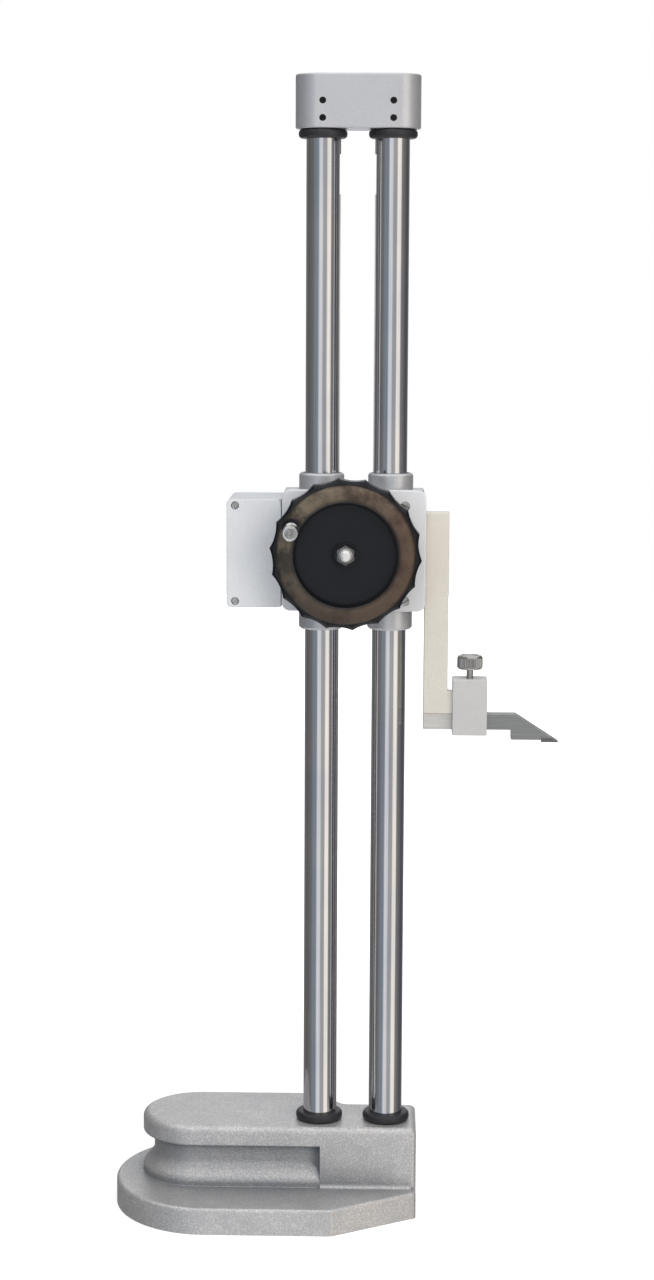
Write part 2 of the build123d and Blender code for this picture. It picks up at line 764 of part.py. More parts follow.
def make_crank_knob():
    x, z = crank_place()
    base, front = ring_y - 0.3, ring_y - 0.3 - knob_l
    big, waist = knob_d / 2, knob_waist_d / 2
    bore = crank_screw_d / 2 + running_fit
    profile = make_face(
        [
            Line((bore, base), (big, base)),
            Line((big, base), (big, base - knob_collar_l)),
            Line((big, base - knob_collar_l), (waist, base - knob_collar_l - 1)),
            Spline(
                (waist, base - knob_collar_l - 1),
                (waist + 0.25, base - 0.55 * knob_l),
                (big, front + 2.2),
                tangents=((0, -1), (0, -1)),
            ),
            Line((big, front + 2.2), (big, front + 0.8)),
            Line((big, front + 0.8), (big - 0.8, front)),
            Line((big - 0.8, front), (bore, front)),
            Line((bore, front), (bore, base)),
        ]
    )
    knob = Pos(x, 0, z) * revolve(profile, Axis.Y)
    return knob - rod_y(crank_head_d + 1.2, front - 1, front + crank_head_sink + 2.0, x, z)


def make_crank_screw():
    x, z = crank_place()
    front = ring_y - 0.3 - knob_l
    seat = front + crank_head_sink + 1.9
    screw = rod_y(crank_screw_d, seat, rim_front - 4, x, z)
    head = rod_y(crank_head_d, front + crank_head_sink, seat, x, z)
    head = fillet(head.faces().sort_by(Axis.Y)[0].edges(), 0.6)
    return screw + head


# ---------------------------------------------------------------- measuring train, dial and counters
def make_measure_shaft():
    rear = -block_half_w - measure_bush_sink + end_gap
    return rod_y(measure_shaft_d, rear, housing_back_wall() + 4.2, measure_x, measure_z)


def housing_back_wall():
    """Front of the housing's wall that lies on the carriage."""
    return block_half_w + housing_wall


def make_measure_pinion():
    gear = pinion(
        measure_teeth, module, -pinion_w / 2, pinion_w / 2,
        measure_shaft_d + 2 * static_fit, measure_x, measure_z, 0,
    )
    return gear


def make_train_gear():
    y0 = housing_back_wall() + 1.2
    gear = train_gear(
        train_gear_teeth, train_module, y0, y0 + train_gear_t,
        measure_shaft_d + 2 * static_fit, measure_x, measure_z, math.degrees(train_angle),
    )
    hub = rod_y(measure_shaft_d + 4, y0 - 0.8, y0 + train_gear_t + 0.8, measure_x, measure_z)
    return gear + (hub - rod_y(measure_shaft_d + 2 * static_fit, y0 - 2, y0 + 6, measure_x, measure_z))


def pointer_y():
    return housing_face - 2.0


def make_pointer_arbor():
    y0 = housing_back_wall() + 0.7
    arbor = rod_y(arbor_d, block_half_w + end_gap, pointer_y() + 1.5, dial_x, dial_z)
    gear = pinion(
        train_pinion_teeth, train_module, y0, y0 + train_pinion_t,
        0.8 * arbor_d, dial_x, dial_z, math.degrees(train_angle) + 180 + 180 / train_pinion_teeth,
    )
    return arbor + gear


def make_train_plate():
    y0 = housing_back_wall() + 4.6
    plate = rod_y(well_d - 2 * static_fit, y0, y0 + train_plate_t, dial_x, dial_z)
    return plate - rod_y(arbor_d + 2 * running_fit, y0 - 1, y0 + train_plate_t + 1, dial_x, dial_z)


def make_pointer():
    y0 = pointer_y()
    tip, root, tail = 0.25, 0.9, 1.6
    blade = make_face(
        Polyline((-root, 0), (-tip, pointer_l), (tip, pointer_l), (root, 0), (tail, -pointer_tail),
                 (-tail, -pointer_tail), close=True)
    )
    hand = extrude(Plane.XZ * blade, pointer_t)
    hand += rod_y(5.0, -pointer_t - 0.5, 0.4)
    hand -= rod_y(arbor_d + 2 * static_fit, -5, 5)
    return Pos(dial_x, y0 + pointer_t, dial_z) * hand


def make_dial_face():
    y1 = housing_face - 3.0
    disc = rod_y(bezel_spigot_d - 0.1, y1 - dial_t, y1, dial_x, dial_z)
    return disc - rod_y(arbor_d + 1.2, y1 - 5, y1 + 1, dial_x, dial_z)


def make_bezel():
    out, win = bezel_d / 2, bezel_window_d / 2
    spigot, glass = bezel_spigot_d / 2, crystal_d / 2
    rear, seat = housing_face - 3.0, housing_face + 0.15
    front = seat + bezel_h
    rebate = front - 1.5
    profile = [
        (win + 0.6, rear), (spigot, rear), (spigot, seat), (out, seat), (out, front - 1.6),
        (out - 1.6, front), (win, front), (win - 0.2, front - 0.6), (win, rebate),
        (glass + static_fit, rebate),
        (glass + static_fit, rebate - crystal_t), (win + 0.6, rebate - crystal_t),
    ]
    return turned_y(profile, dial_x, dial_z)


def make_crystal():
    front = housing_face + 0.15 + bezel_h - 1.5
    return rod_y(crystal_d, front - crystal_t, front, dial_x, dial_z)


def counter_rows():
    return counter_z_up, counter_z_down


def reset_places():
    return [(counter_x - side * reset_spacing / 2, reset_z) for side in (-1, 1)]


def make_housing():
    plan = make_face(
        Polyline(
            (housing_left, housing_back), (housing_step, housing_back), (housing_step, block_half_w),
            (housing_right, block_half_w), (housing_right, housing_face), (housing_left, housing_face),
            close=True,
        )
    )
    deep = Pos(0, 0, housing_bottom) * extrude(plan, housing_top - housing_bottom)
    front = deep.edges().filter_by(Axis.Z).filter_by_position(Axis.Y, housing_face - 1, housing_face + 1)
    deep = fillet(front, housing_corner + 1)
    body = deep & plate_xz(
        housing_left, housing_right, housing_bottom, housing_top, housing_back, housing_face, housing_corner
    )
    wall = housing_wall
    body -= block(
        housing_left + wall, housing_step - wall, housing_back - 1, housing_face - wall,
        housing_bottom + wall, housing_top - wall,
    )
    body -= rod_y(well_d, housing_back_wall(), housing_face + 1, dial_x, dial_z)
    body -= rod_y(measure_shaft_d + 1, block_half_w - 1, housing_face, measure_x, measure_z)
    body -= rod_y(arbor_d + 2 * running_fit, block_half_w - 1, housing_face, dial_x, dial_z)
    for z in counter_rows():
        opening = plate_xz(
            counter_x - window_w / 2, counter_x + window_w / 2, z - window_h / 2, z + window_h / 2,
            housing_face - wall - 1, housing_face + 1, 0.8,
        )
        body -= opening
        body -= rod_x(counter_shaft_d + 2 * static_fit, housing_left + 1, housing_step + 1, counter_y, z)
    for x, z in reset_places():
        body -= rod_y(reset_stem_d + 2 * running_fit, housing_face - wall - 1, housing_face + 1, x, z)
    for z in back_screw_heights():
        x = housing_left + back_screw_x
        body += rod_y(2 * back_screw_z, housing_back, housing_back + 8, x, z) & deep
        body -= rod_y(m3_d + 2 * static_fit, housing_back - 1, housing_back + 6, x, z)
    return body


def back_screw_heights():
    return housing_bottom + back_screw_z, housing_top - back_screw_z


def make_back_cover():
    body = plate_xz(
        housing_left, housing_step, housing_bottom, housing_top,
        housing_back - back_cover_t, housing_back, housing_corner,
    )
    body = fillet(body.faces().sort_by(Axis.Y)[0].edges(), 0.6)
    for z in back_screw_heights():
        body -= rod_y(m3_d + 2 * static_fit, housing_back - 10, 0, housing_left + back_screw_x, z)
        body -= rod_y(
            m3_head_d - 0.6, housing_back - 10, housing_back - back_cover_t + m3_sink,
            housing_left + back_screw_x, z,
        )
    return body


def make_back_screws():
    seat = housing_back - back_cover_t + m3_sink
    return [
        cheese_screw(housing_left + back_screw_x, z, seat, m3_head_d - 1, m3_head_h - 0.4, m3_d, 7.0)
        for z in back_screw_heights()
    ]


def make_counter_shafts():
    return [
        rod_x(counter_shaft_d, housing_left + 1, housing_step, counter_y, z) for z in counter_rows()
    ]


def make_counter_wheel(z, place):
    """place 0 is the units wheel, on the side that reads last."""
    step = counter_w + counter_gap
    x0 = counter_x - counter_w / 2 + (place - 1) * step
    wheel = rod_x(2 * counter_r, x0, x0 + counter_w, counter_y, z)
    wheel = fillet(wheel.edges().filter_by(GeomType.CIRCLE), 0.3)
    return wheel - rod_x(counter_shaft_d + 2 * running_fit, x0 - 1, x0 + counter_w + 1, counter_y, z)


def make_windows():
    return [
        plate_xz(
            counter_x - window_w / 2 + static_fit, counter_x + window_w / 2 - static_fit,
            z - window_h / 2 + static_fit, z + window_h / 2 - static_fit,
            housing_face - 1 - window_t, housing_face - 1, 1.0,
        )
        for z in counter_rows()
    ]


def make_reset_button(x, z):
    seat = housing_face + reset_travel + end_gap
    inner = housing_face - housing_wall - end_gap
    button = rod_y(reset_d, seat, seat + reset_h, x, z)
    button = chamfer(button.faces().sort_by(Axis.Y)[-1].edges(), 0.7)
    button += rod_y(reset_stem_d, inner - 2, seat, x, z)
    return button + rod_y(reset_stem_d + 1.6, inner - 1.2, inner, x, z)


# ---------------------------------------------------------------- lock
def make_lock_knob():
    y0 = lock_seat_y + 0.4
    knob = rod_y(lock_d, y0 + 3, y0 + lock_h, lock_x, lock_z)
    knob = chamfer(knob.edges().filter_by(GeomType.CIRCLE), 0.8)
    knob += rod_y(lock_d * 0.62, y0, y0 + 3.5, lock_x, lock_z)
    return knob + rod_y(lock_stem_d, column_r + running_fit + lock_pad_l, y0 + 1, lock_x, lock_z)


def make_lock_pad():
    y0 = column_r + running_fit
    pad = rod_y(lock_stem_d, column_r - 2, y0 + lock_pad_l, lock_x, lock_z)
    return pad - rod_z(column_d + 2 * running_fit, lock_z - 5, lock_z + 5, column_x)


# ---------------------------------------------------------------- arm, clamp and scriber
def arm_screw_heights():
    mid = (lug_bottom + lug_top) / 2
    return mid - arm_screw_spacing / 2, mid + arm_screw_spacing / 2


def make_arm():
    right = arm_left + arm_w
    outline = make_face(
        Polyline(
            (arm_left, foot_z), (foot_right, foot_z), (foot_right, foot_z + foot_h), (right, foot_z + foot_h),
            (right, arm_top), (arm_left, arm_top), close=True,
        )
    )
    body = Pos(0, arm_rear + arm_t, 0) * extrude(Plane.XZ * outline, arm_t)
    inner = body.edges().filter_by(Axis.Y).sort_by_distance((right, arm_mid, foot_z + foot_h))[0]
    body = fillet(inner, 1.2)
    body = chamfer(body.faces().sort_by(Axis.Y)[0].edges(), 0.4)
    for z in arm_screw_heights():
        body -= rod_y(arm_screw_d + 2 * static_fit, arm_rear + 2, 0, arm_left + arm_w / 2, z)
    return body


def make_arm_screws():
    x = arm_left + arm_w / 2
    screws = []
    for z in arm_screw_heights():
        screw = rod_y(arm_screw_d, arm_rear + 2.5, lug_front, x, z)
        head = rod_y(arm_screw_head_d, lug_front, lug_front + arm_screw_head_h, x, z)
        key = Pos(x, lug_front + arm_screw_head_h + 1, z) * extrude(Plane.XZ * RegularPolygon(1.7, 6), 3)
        screws.append(screw + head - key)
    return screws


def make_clamp_box():
    gap = guide_gap
    y0, y1 = arm_rear - gap - box_wall, arm_rear + arm_t + gap + box_wall
    body = block(box_left, box_left + box_w, y0, y1, box_z, box_top)
    body = fillet(body.edges(), box_edge)
    body -= block(
        box_left - 1, box_left + box_w + 1, arm_rear - gap, arm_rear + arm_t + gap,
        box_z + box_floor, foot_z + foot_h,
    )
    return body - rod_z(thumb_shank_d + 2 * running_fit, foot_z, box_top + 1, thumb_x, arm_mid)


def make_thumb_screw():
    tip = foot_z + foot_h + running_fit
    head = rod_z(thumb_d, box_top + thumb_lift, box_top + thumb_lift + thumb_h, thumb_x, arm_mid)
    head = chamfer(head.edges().filter_by(GeomType.CIRCLE), 0.7)
    return head + rod_z(thumb_shank_d, tip, box_top + thumb_lift, thumb_x, arm_mid)


def scriber_y():
    return arm_rear + guide_gap, arm_rear + arm_t - guide_gap


def slope_x(z):
    """Where the scriber's sloping top edge is at a height."""
    low_z = scriber_bottom - scriber_step - tip_proud
    run = (scriber_end_x - scriber_slope_x) / (scriber_top - low_z)
    return scriber_slope_x + (scriber_top - z) * run


def make_scriber():
    y0, y1 = scriber_y()
    beak = scriber_bottom - scriber_step
    nib = beak - tip_proud + scriber_nib
    outline = make_face(
        Polyline(
            (scriber_left, scriber_bottom), (scriber_step_x, scriber_bottom), (scriber_step_x, beak),
            (tip_left, beak), (tip_left, nib), (slope_x(nib), nib), (scriber_slope_x, scriber_top),
            (scriber_left, scriber_top), close=True,
        )
    )
    body = Pos(0, y1, 0) * extrude(Plane.XZ * outline, y1 - y0)
    return chamfer(body.faces().sort_by(Axis.X)[0].edges(), 0.4)


def make_scriber_tip():
    y0, y1 = scriber_y()
    low = scriber_bottom - scriber_step - tip_proud
    top = low + scriber_nib
    outline = make_face(
        Polyline((tip_left, low), (slope_x(low), low), (slope_x(top), top), (tip_left, top), close=True)
    )
    return Pos(0, y1, 0) * extrude(Plane.XZ * outline, y1 - y0)


def group(solids):
    """Several separate solids kept in one node."""
    return Compound(children=list(solids))


nodes = {
    "base": make_base(),
    "column_bolts": group(make_column_bolts()),
    "column_left": make_column(-1),
    "column_right": make_column(1),
    "feed_rack": make_rack(-1, wheel_z),
    "measuring_rack": make_rack(1, measure_z),
    "lower_stop_rings": group(make_rings(deck_z)),
    "upper_stop_rings": group(make_rings(bracket_z - ring_t)),
    "top_bracket": make_bracket(),
    "bracket_set_screws": group(make_set_screws()),
    "carriage_body": make_carriage_body(),
    "column_bushes": group(make_column_bushes()),
    "rear_cover": make_rear_cover(),
    "rear_cover_screws": group(make_cover_screws()),
    "drive_bushes": group(make_drive_bushes()),
    "measuring_bushes": group(make_measure_bushes()),
    "dial_housing": make_housing(),
    "housing_back_cover": make_back_cover(),
    "housing_back_screws": group(make_back_screws()),
    "train_plate": make_train_plate(),
    "counter_shafts": group(make_counter_shafts()),
    "counter_windows": group(make_windows()),
    "drive_shaft": make_drive_shaft(),
    "drive_pinion": make_drive_pinion(),
    "handwheel": make_handwheel(),
    "wheel_washer": make_wheel_washer(),
    "wheel_cap_nut": make_cap_nut(),
    "crank_screw": make_crank_screw(),
    "crank_knob": make_crank_knob(),
    "measuring_shaft": make_measure_shaft(),
    "measuring_pinion": make_measure_pinion(),
    "train_gear": make_train_gear(),
    "pointer_arbor": make_pointer_arbor(),
    "pointer": make_pointer(),
    "bezel": make_bezel(),
    "crystal": make_crystal(),
    "dial_face": make_dial_face(),
    "lock_knob": make_lock_knob(),
    "lock_pad": make_lock_pad(),
    "measuring_arm": make_arm(),
    "arm_screws": group(make_arm_screws()),
    "clamp_box": make_clamp_box(),
    "thumb_screw": make_thumb_screw(),
    "scriber": make_scriber(),
    "scriber_tip": make_scriber_tip(),
}
for row, z in (("up", counter_z_up), ("down", counter_z_down)):
    for place, digit in enumerate(("units", "tens", "hundreds")):
        nodes[f"counter_{row}_{digit}"] = make_counter_wheel(z, place)
for name, (x, z) in zip(("reset_button_up", "reset_button_down"), reset_places()):
    nodes[name] = make_reset_button(x, z)

for name, shape in nodes.items():
    export_step(shape, f"parts/{name}.step")
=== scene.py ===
import json
import math

import bmesh
import bpy
import numpy as np
from mathutils import Matrix, Vector


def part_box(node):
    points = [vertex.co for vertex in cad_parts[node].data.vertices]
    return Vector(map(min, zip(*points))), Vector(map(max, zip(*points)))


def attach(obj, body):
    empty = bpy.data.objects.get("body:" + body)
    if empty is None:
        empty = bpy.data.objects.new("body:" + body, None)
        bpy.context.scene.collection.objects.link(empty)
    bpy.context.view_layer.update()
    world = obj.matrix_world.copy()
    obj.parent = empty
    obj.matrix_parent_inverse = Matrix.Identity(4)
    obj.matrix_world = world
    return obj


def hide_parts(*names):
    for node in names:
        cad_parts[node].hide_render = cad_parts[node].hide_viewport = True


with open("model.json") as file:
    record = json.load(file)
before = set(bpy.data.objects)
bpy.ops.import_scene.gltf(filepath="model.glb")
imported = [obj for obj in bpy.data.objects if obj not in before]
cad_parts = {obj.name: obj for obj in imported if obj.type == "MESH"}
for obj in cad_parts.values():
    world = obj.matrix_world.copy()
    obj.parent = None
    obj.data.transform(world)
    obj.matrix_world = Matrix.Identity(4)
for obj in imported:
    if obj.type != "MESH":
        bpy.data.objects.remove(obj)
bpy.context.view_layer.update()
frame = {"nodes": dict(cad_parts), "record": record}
mm = 0.001
print("frame loaded:", len(frame["nodes"]), "nodes")


# ---- small helpers for meshes and node trees

def nodeMiddle(name):
    low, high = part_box(name)
    return (low + high) / 2


def boxInMm(name):
    # low corner, high corner and middle of a CAD node's box, in millimetres
    low, high = (np.array(corner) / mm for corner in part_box(name))
    return low, high, (low + high) / 2


def addObject(name, data):
    made = bpy.data.objects.new(name, data)
    bpy.context.scene.collection.objects.link(made)
    return made


def addMesh(name, points, faces, smoothAngle=None):
    # points is (n, 3) in metres and faces index it; edges sharper than smoothAngle in degrees stay sharp
    mesh = bpy.data.meshes.new(name)
    mesh.from_pydata(points.tolist(), [], faces)
    if smoothAngle is not None:
        mesh.shade_smooth()
        mesh.set_sharp_from_angle(angle=math.radians(smoothAngle))
    return addObject(name, mesh)


def gridQuads(rows, columns, closeRows=False, closeColumns=False):
    # indices of the quads between neighbouring points of a rows by columns grid
    r = np.arange(rows if closeRows else rows - 1)
    c = np.arange(columns if closeColumns else columns - 1)
    r, c = np.meshgrid(r, c, indexing="ij")
    r2, c2 = (r + 1) % rows, (c + 1) % columns
    corners = [r * columns + c, r * columns + c2, r2 * columns + c2, r2 * columns + c]
    return np.stack(corners, -1).reshape(-1, 4)


def setSocket(tree, socket, source):
    # an output is linked to the input; anything else becomes its value, and a bare colour gets alpha 1
    if hasattr(source, "is_linked"):
        tree.links.new(source, socket)
    elif socket.type == "RGBA" and len(source) == 3:
        socket.default_value = (*source, 1)
    else:
        socket.default_value = source


def addNode(tree, kind, links=(), **settings):
    # links pairs an input's name or number with what feeds it; settings are the node's own properties
    node = tree.nodes.new(kind)
    for key, value in settings.items():
        setattr(node, key, value)
    for socket, source in links:
        setSocket(tree, node.inputs[socket], source)
    return node


def setInputs(tree, node, **values):
    # an underscore stands for a space in the input's name
    for label, value in values.items():
        setSocket(tree, node.inputs[label.replace("_", " ")], value)
    return node


def newMaterial(name):
    material = bpy.data.materials.new(name)
    material.use_nodes = True
    tree = material.node_tree
    tree.nodes.clear()
    shader = tree.nodes.new("ShaderNodeBsdfPrincipled")
    output = tree.nodes.new("ShaderNodeOutputMaterial")
    tree.links.new(shader.outputs["BSDF"], output.inputs["Surface"])
    return material, tree, shader


def newGroup(name, inputs, outputs):
    group = bpy.data.node_groups.new(name, "ShaderNodeTree")
    for label, kind, value in inputs:
        socket = group.interface.new_socket(name=label, in_out="INPUT", socket_type=kind)
        if value is not None:
            socket.default_value = value
    for label, kind in outputs:
        group.interface.new_socket(name=label, in_out="OUTPUT", socket_type=kind)
    return group, group.nodes.new("NodeGroupInput"), group.nodes.new("NodeGroupOutput")


def useGroup(tree, group, **values):
    return setInputs(tree, addNode(tree, "ShaderNodeGroup", node_tree=group), **values)


def colourRamp(tree, factor, stops):
    ramp = addNode(tree, "ShaderNodeValToRGB", [("Fac", factor)])
    elements = ramp.color_ramp.elements
    while len(elements) < len(stops):
        elements.new(0.5)
    for element, (position, colour) in zip(elements, stops):
        element.position = position
        element.color = (*colour, 1)
    return ramp.outputs["Color"]


def mixColour(tree, factor, first, second, blend="MIX"):
    # with colours chosen, inputs 6 and 7 are the two colours and output 2 is the mixed one
    links = [("Factor", factor), (6, first), (7, second)]
    return addNode(tree, "ShaderNodeMix", links, data_type="RGBA", blend_type=blend).outputs[2]


def mapRange(tree, value, fromLow, fromHigh, toLow, toHigh):
    ends = [("From Min", fromLow), ("From Max", fromHigh), ("To Min", toLow), ("To Max", toHigh)]
    return addNode(tree, "ShaderNodeMapRange", [("Value", value)] + ends).outputs["Result"]


def mathNode(tree, operation, first, second):
    return addNode(tree, "ShaderNodeMath", [(0, first), (1, second)], operation=operation).outputs[0]


def vectorMath(tree, operation, first, second=(0, 0, 0)):
    node = addNode(tree, "ShaderNodeVectorMath", [(0, first), (1, second)], operation=operation)
    return node.outputs["Value" if operation in ("DOT_PRODUCT", "LENGTH") else "Vector"]


def objectPoints(tree, scale=(1, 1, 1)):
    coords = addNode(tree, "ShaderNodeTexCoord").outputs["Object"]
    return addNode(tree, "ShaderNodeMapping", [("Vector", coords), ("Scale", scale)]).outputs["Vector"]


def fromAxis(tree, points, x, z):
    # distance from the line along Y that passes through x and z
    moved = vectorMath(tree, "SUBTRACT", points, (x, 0, z))
    return vectorMath(tree, "LENGTH", vectorMath(tree, "MULTIPLY", moved, (1, 0, 1)))


def noiseMask(tree, vector, scale, detail):
    links = [("Vector", vector), ("Scale", scale), ("Detail", detail)]
    return addNode(tree, "ShaderNodeTexNoise", links).outputs["Fac"]


def bumpNode(tree, height, strength, distance, normal=None):
    links = [("Height", height), ("Strength", strength), ("Distance", distance)]
    if normal is not None:
        links.append(("Normal", normal))
    return addNode(tree, "ShaderNodeBump", links).outputs["Normal"]


# ---- effects that several finishes share

def makeGrainGroup():
    # fine even grain and a slow drift: two noises, each from 0 to 1
    group, start, end = newGroup(
        "fineGrain",
        [("Vector", "NodeSocketVector", None), ("Scale", "NodeSocketFloat", 900.0),
         ("Coarse Scale", "NodeSocketFloat", 90.0)],
        [("Mask", "NodeSocketFloat"), ("Coarse", "NodeSocketFloat")],
    )
    fine = noiseMask(group, start.outputs["Vector"], start.outputs["Scale"], 3)
    coarse = noiseMask(group, start.outputs["Vector"], start.outputs["Coarse Scale"], 4)
    setInputs(group, end, Mask=fine, Coarse=coarse)
    return group


def makeBrushGroup():
    # streaks drawn out along one axis: noise on coordinates squeezed along it
    group, start, end = newGroup(
        "brushedStreaks",
        [("Stretched Vector", "NodeSocketVector", None), ("Density", "NodeSocketFloat", 400.0)],
        [("Streak", "NodeSocketFloat")],
    )
    streak = noiseMask(group, start.outputs["Stretched Vector"], start.outputs["Density"], 2)
    setInputs(group, end, Streak=streak)
    return group


def makeEdgeGroup():
    # 1 minus the cosine between a bevelled normal and the true one: high on edges, 0 on flats; it marks edge
    # wear, and in some finishes a painted highlight on edges
    group, start, end = newGroup(
        "edgeWearAndHighlight",
        [("Radius", "NodeSocketFloat", 0.0006), ("Contrast", "NodeSocketFloat", 4.0)],
        [("Mask", "NodeSocketFloat"), ("Soft Normal", "NodeSocketVector")],
    )
    bevel = addNode(group, "ShaderNodeBevel", [("Radius", start.outputs["Radius"])], samples=6)
    soft = bevel.outputs["Normal"]
    true = addNode(group, "ShaderNodeNewGeometry").outputs["Normal"]
    drop = mathNode(group, "SUBTRACT", 1.0, vectorMath(group, "DOT_PRODUCT", soft, true))
    links = [(0, drop), (1, start.outputs["Contrast"])]
    mask = addNode(group, "ShaderNodeMath", links, operation="MULTIPLY", use_clamp=True)
    setInputs(group, end, Mask=mask.outputs[0], Soft_Normal=soft)
    return group


fineGrain = makeGrainGroup()
brushedStreaks = makeBrushGroup()
edgeWearAndHighlight = makeEdgeGroup()


# ---- finishes

# painted shade: the bluish shade colour is laid into hollows and under overhangs by ambient occlusion; the edge
# colour paints edge wear together with a painted highlight on edges
hammeredPaint = {
    "dark": (0.45, 0.455, 0.465), "middle": (0.56, 0.56, 0.565), "light": (0.69, 0.685, 0.68),
    "shadeColour": (0.27, 0.30, 0.34), "speck": (0.74, 0.74, 0.745), "edge": (0.92, 0.92, 0.93),
    "cell": 1000.0, "wobble": 0.0016, "sparkle": 0.6, "rubbedAndLit": 0.8, "shadeReach": 0.06,
    "metallic": 0.62, "roughness": 0.40, "roughSpread": 0.10,
}


def makeHammeredPaint():
    # silver paint with a fine hammered skin: small soft dimples, bright rims round them and sparkle; edges get
    # wear and a painted highlight, and hollows a painted bluish shade
    p = hammeredPaint
    material, tree, shader = newMaterial("silver hammered paint")
    points = objectPoints(tree)
    grain = useGroup(tree, fineGrain, Vector=points, Scale=1900.0, Coarse_Scale=60.0)
    edges = useGroup(tree, edgeWearAndHighlight, Radius=0.0009, Contrast=5.0)
    warp = addNode(tree, "ShaderNodeTexNoise", [("Vector", points), ("Scale", 500.0)])
    links = [(0, warp.outputs["Color"]), ("Scale", p["wobble"])]
    warped = addNode(tree, "ShaderNodeVectorMath", links, operation="SCALE")
    moved = vectorMath(tree, "ADD", points, warped.outputs[0])
    cells = addNode(tree, "ShaderNodeTexVoronoi", feature="SMOOTH_F1")
    setInputs(tree, cells, Vector=moved, Scale=p["cell"], Smoothness=0.5)
    shade = mapRange(tree, cells.outputs["Distance"], 0.1, 0.8, 0.0, 1.0)
    base = colourRamp(tree, shade, [(0.0, p["dark"]), (0.5, p["middle"]), (1.0, p["light"])])
    speck = colourRamp(tree, grain.outputs["Mask"], [(0.57, (0, 0, 0)), (0.70, (1, 1, 1))])
    sparkled = mixColour(tree, mathNode(tree, "MULTIPLY", speck, p["sparkle"]), base, p["speck"])
    # edge wear and painted highlight: edges are lightened towards the pale edge colour
    rubbedAndLit = mathNode(tree, "MULTIPLY", edges.outputs["Mask"], p["rubbedAndLit"])
    edgeWornAndLit = mixColour(tree, rubbedAndLit, sparkled, p["edge"])
    tints = [(0.35, (0.94, 0.945, 0.955)), (0.65, (1.04, 1.03, 1.02))]
    drift = colourRamp(tree, grain.outputs["Coarse"], tints)
    toned = mixColour(tree, 1.0, edgeWornAndLit, drift, "MULTIPLY")
    # painted shade: where ambient occlusion finds the surface hemmed in, as under the lip and beside the block,
    # the colour is darkened to a bluish grey
    links = [("Distance", p["shadeReach"])]
    openness = addNode(tree, "ShaderNodeAmbientOcclusion", links, samples=8, only_local=True)
    paintedShadeTone = colourRamp(tree, openness.outputs["AO"], [(0.32, p["shadeColour"]), (0.86, (1, 1, 1))])
    dullest, brightest = p["roughness"] + p["roughSpread"], p["roughness"] - p["roughSpread"]
    dimples = bumpNode(tree, cells.outputs["Distance"], 0.5, 0.0003, edges.outputs["Soft Normal"])
    setInputs(tree, shader, Metallic=p["metallic"],
              Base_Color=mixColour(tree, 1.0, toned, paintedShadeTone, "MULTIPLY"),
              Roughness=mapRange(tree, grain.outputs["Mask"], 0.3, 0.7, dullest, brightest),
              Normal=bumpNode(tree, grain.outputs["Mask"], 0.25, 0.00012, dimples))
    return material


groundSteel = {"dull": (0.72, 0.72, 0.735), "colour": (0.80, 0.80, 0.81), "roughness": 0.085}


def makeGroundSteel():
    # ground and polished round bar: fine rings round the bar, long faint draw lines and a few dull patches
    material, tree, shader = newMaterial("ground column steel")
    acrossBar, alongBar = objectPoints(tree, (0.05, 0.05, 1.0)), objectPoints(tree, (1.0, 1.0, 0.012))
    rings = useGroup(tree, brushedStreaks, Stretched_Vector=acrossBar, Density=2600.0).outputs["Streak"]
    lines = useGroup(tree, brushedStreaks, Stretched_Vector=alongBar, Density=900.0).outputs["Streak"]
    patches = useGroup(tree, fineGrain, Vector=objectPoints(tree), Scale=700.0, Coarse_Scale=26.0)
    tone = colourRamp(tree, lines, [(0.35, groundSteel["dull"]), (0.62, groundSteel["colour"])])
    tints = [(0.35, (0.90, 0.91, 0.94)), (0.65, (1.0, 0.99, 0.975))]
    tint = colourRamp(tree, patches.outputs["Coarse"], tints)
    rough = groundSteel["roughness"]
    ringBump = bumpNode(tree, rings, 0.10, 0.00004)
    setInputs(tree, shader, Metallic=1.0, Base_Color=mixColour(tree, 1.0, tone, tint, "MULTIPLY"),
              Roughness=mapRange(tree, rings, 0.3, 0.7, rough - 0.03, rough + 0.05),
              Normal=bumpNode(tree, lines, 0.10, 0.00005, ringBump))
    return material


def makeMachinedMetal(name, dark, light, roughness, stretch, density, metallic=1.0, bump=0.12, wear=0.35):
    # milled or brushed metal: streaks along one axis, soft bright edges
    material, tree, shader = newMaterial(name)
    stretched = objectPoints(tree, stretch)
    streaks = useGroup(tree, brushedStreaks, Stretched_Vector=stretched, Density=density).outputs["Streak"]
    grain = useGroup(tree, fineGrain, Vector=objectPoints(tree), Scale=1400.0, Coarse_Scale=60.0)
    edges = useGroup(tree, edgeWearAndHighlight, Radius=0.0004, Contrast=5.0)
    tone = colourRamp(tree, streaks, [(0.3, dark), (0.7, light)])
    drift = colourRamp(tree, grain.outputs["Coarse"], [(0.3, (0.94, 0.94, 0.95)), (0.7, (1.03, 1.03, 1.02))])
    tone = mixColour(tree, 1.0, tone, drift, "MULTIPLY")
    worn = mathNode(tree, "MULTIPLY", edges.outputs["Mask"], wear)
    bright = tuple(min(1.0, channel * 1.25) for channel in light)
    setInputs(tree, shader, Metallic=metallic, Base_Color=mixColour(tree, worn, tone, bright),
              Roughness=mapRange(tree, streaks, 0.3, 0.7, roughness - 0.05, roughness + 0.06),
              Normal=bumpNode(tree, streaks, bump, 0.00006, edges.outputs["Soft Normal"]))
    return material


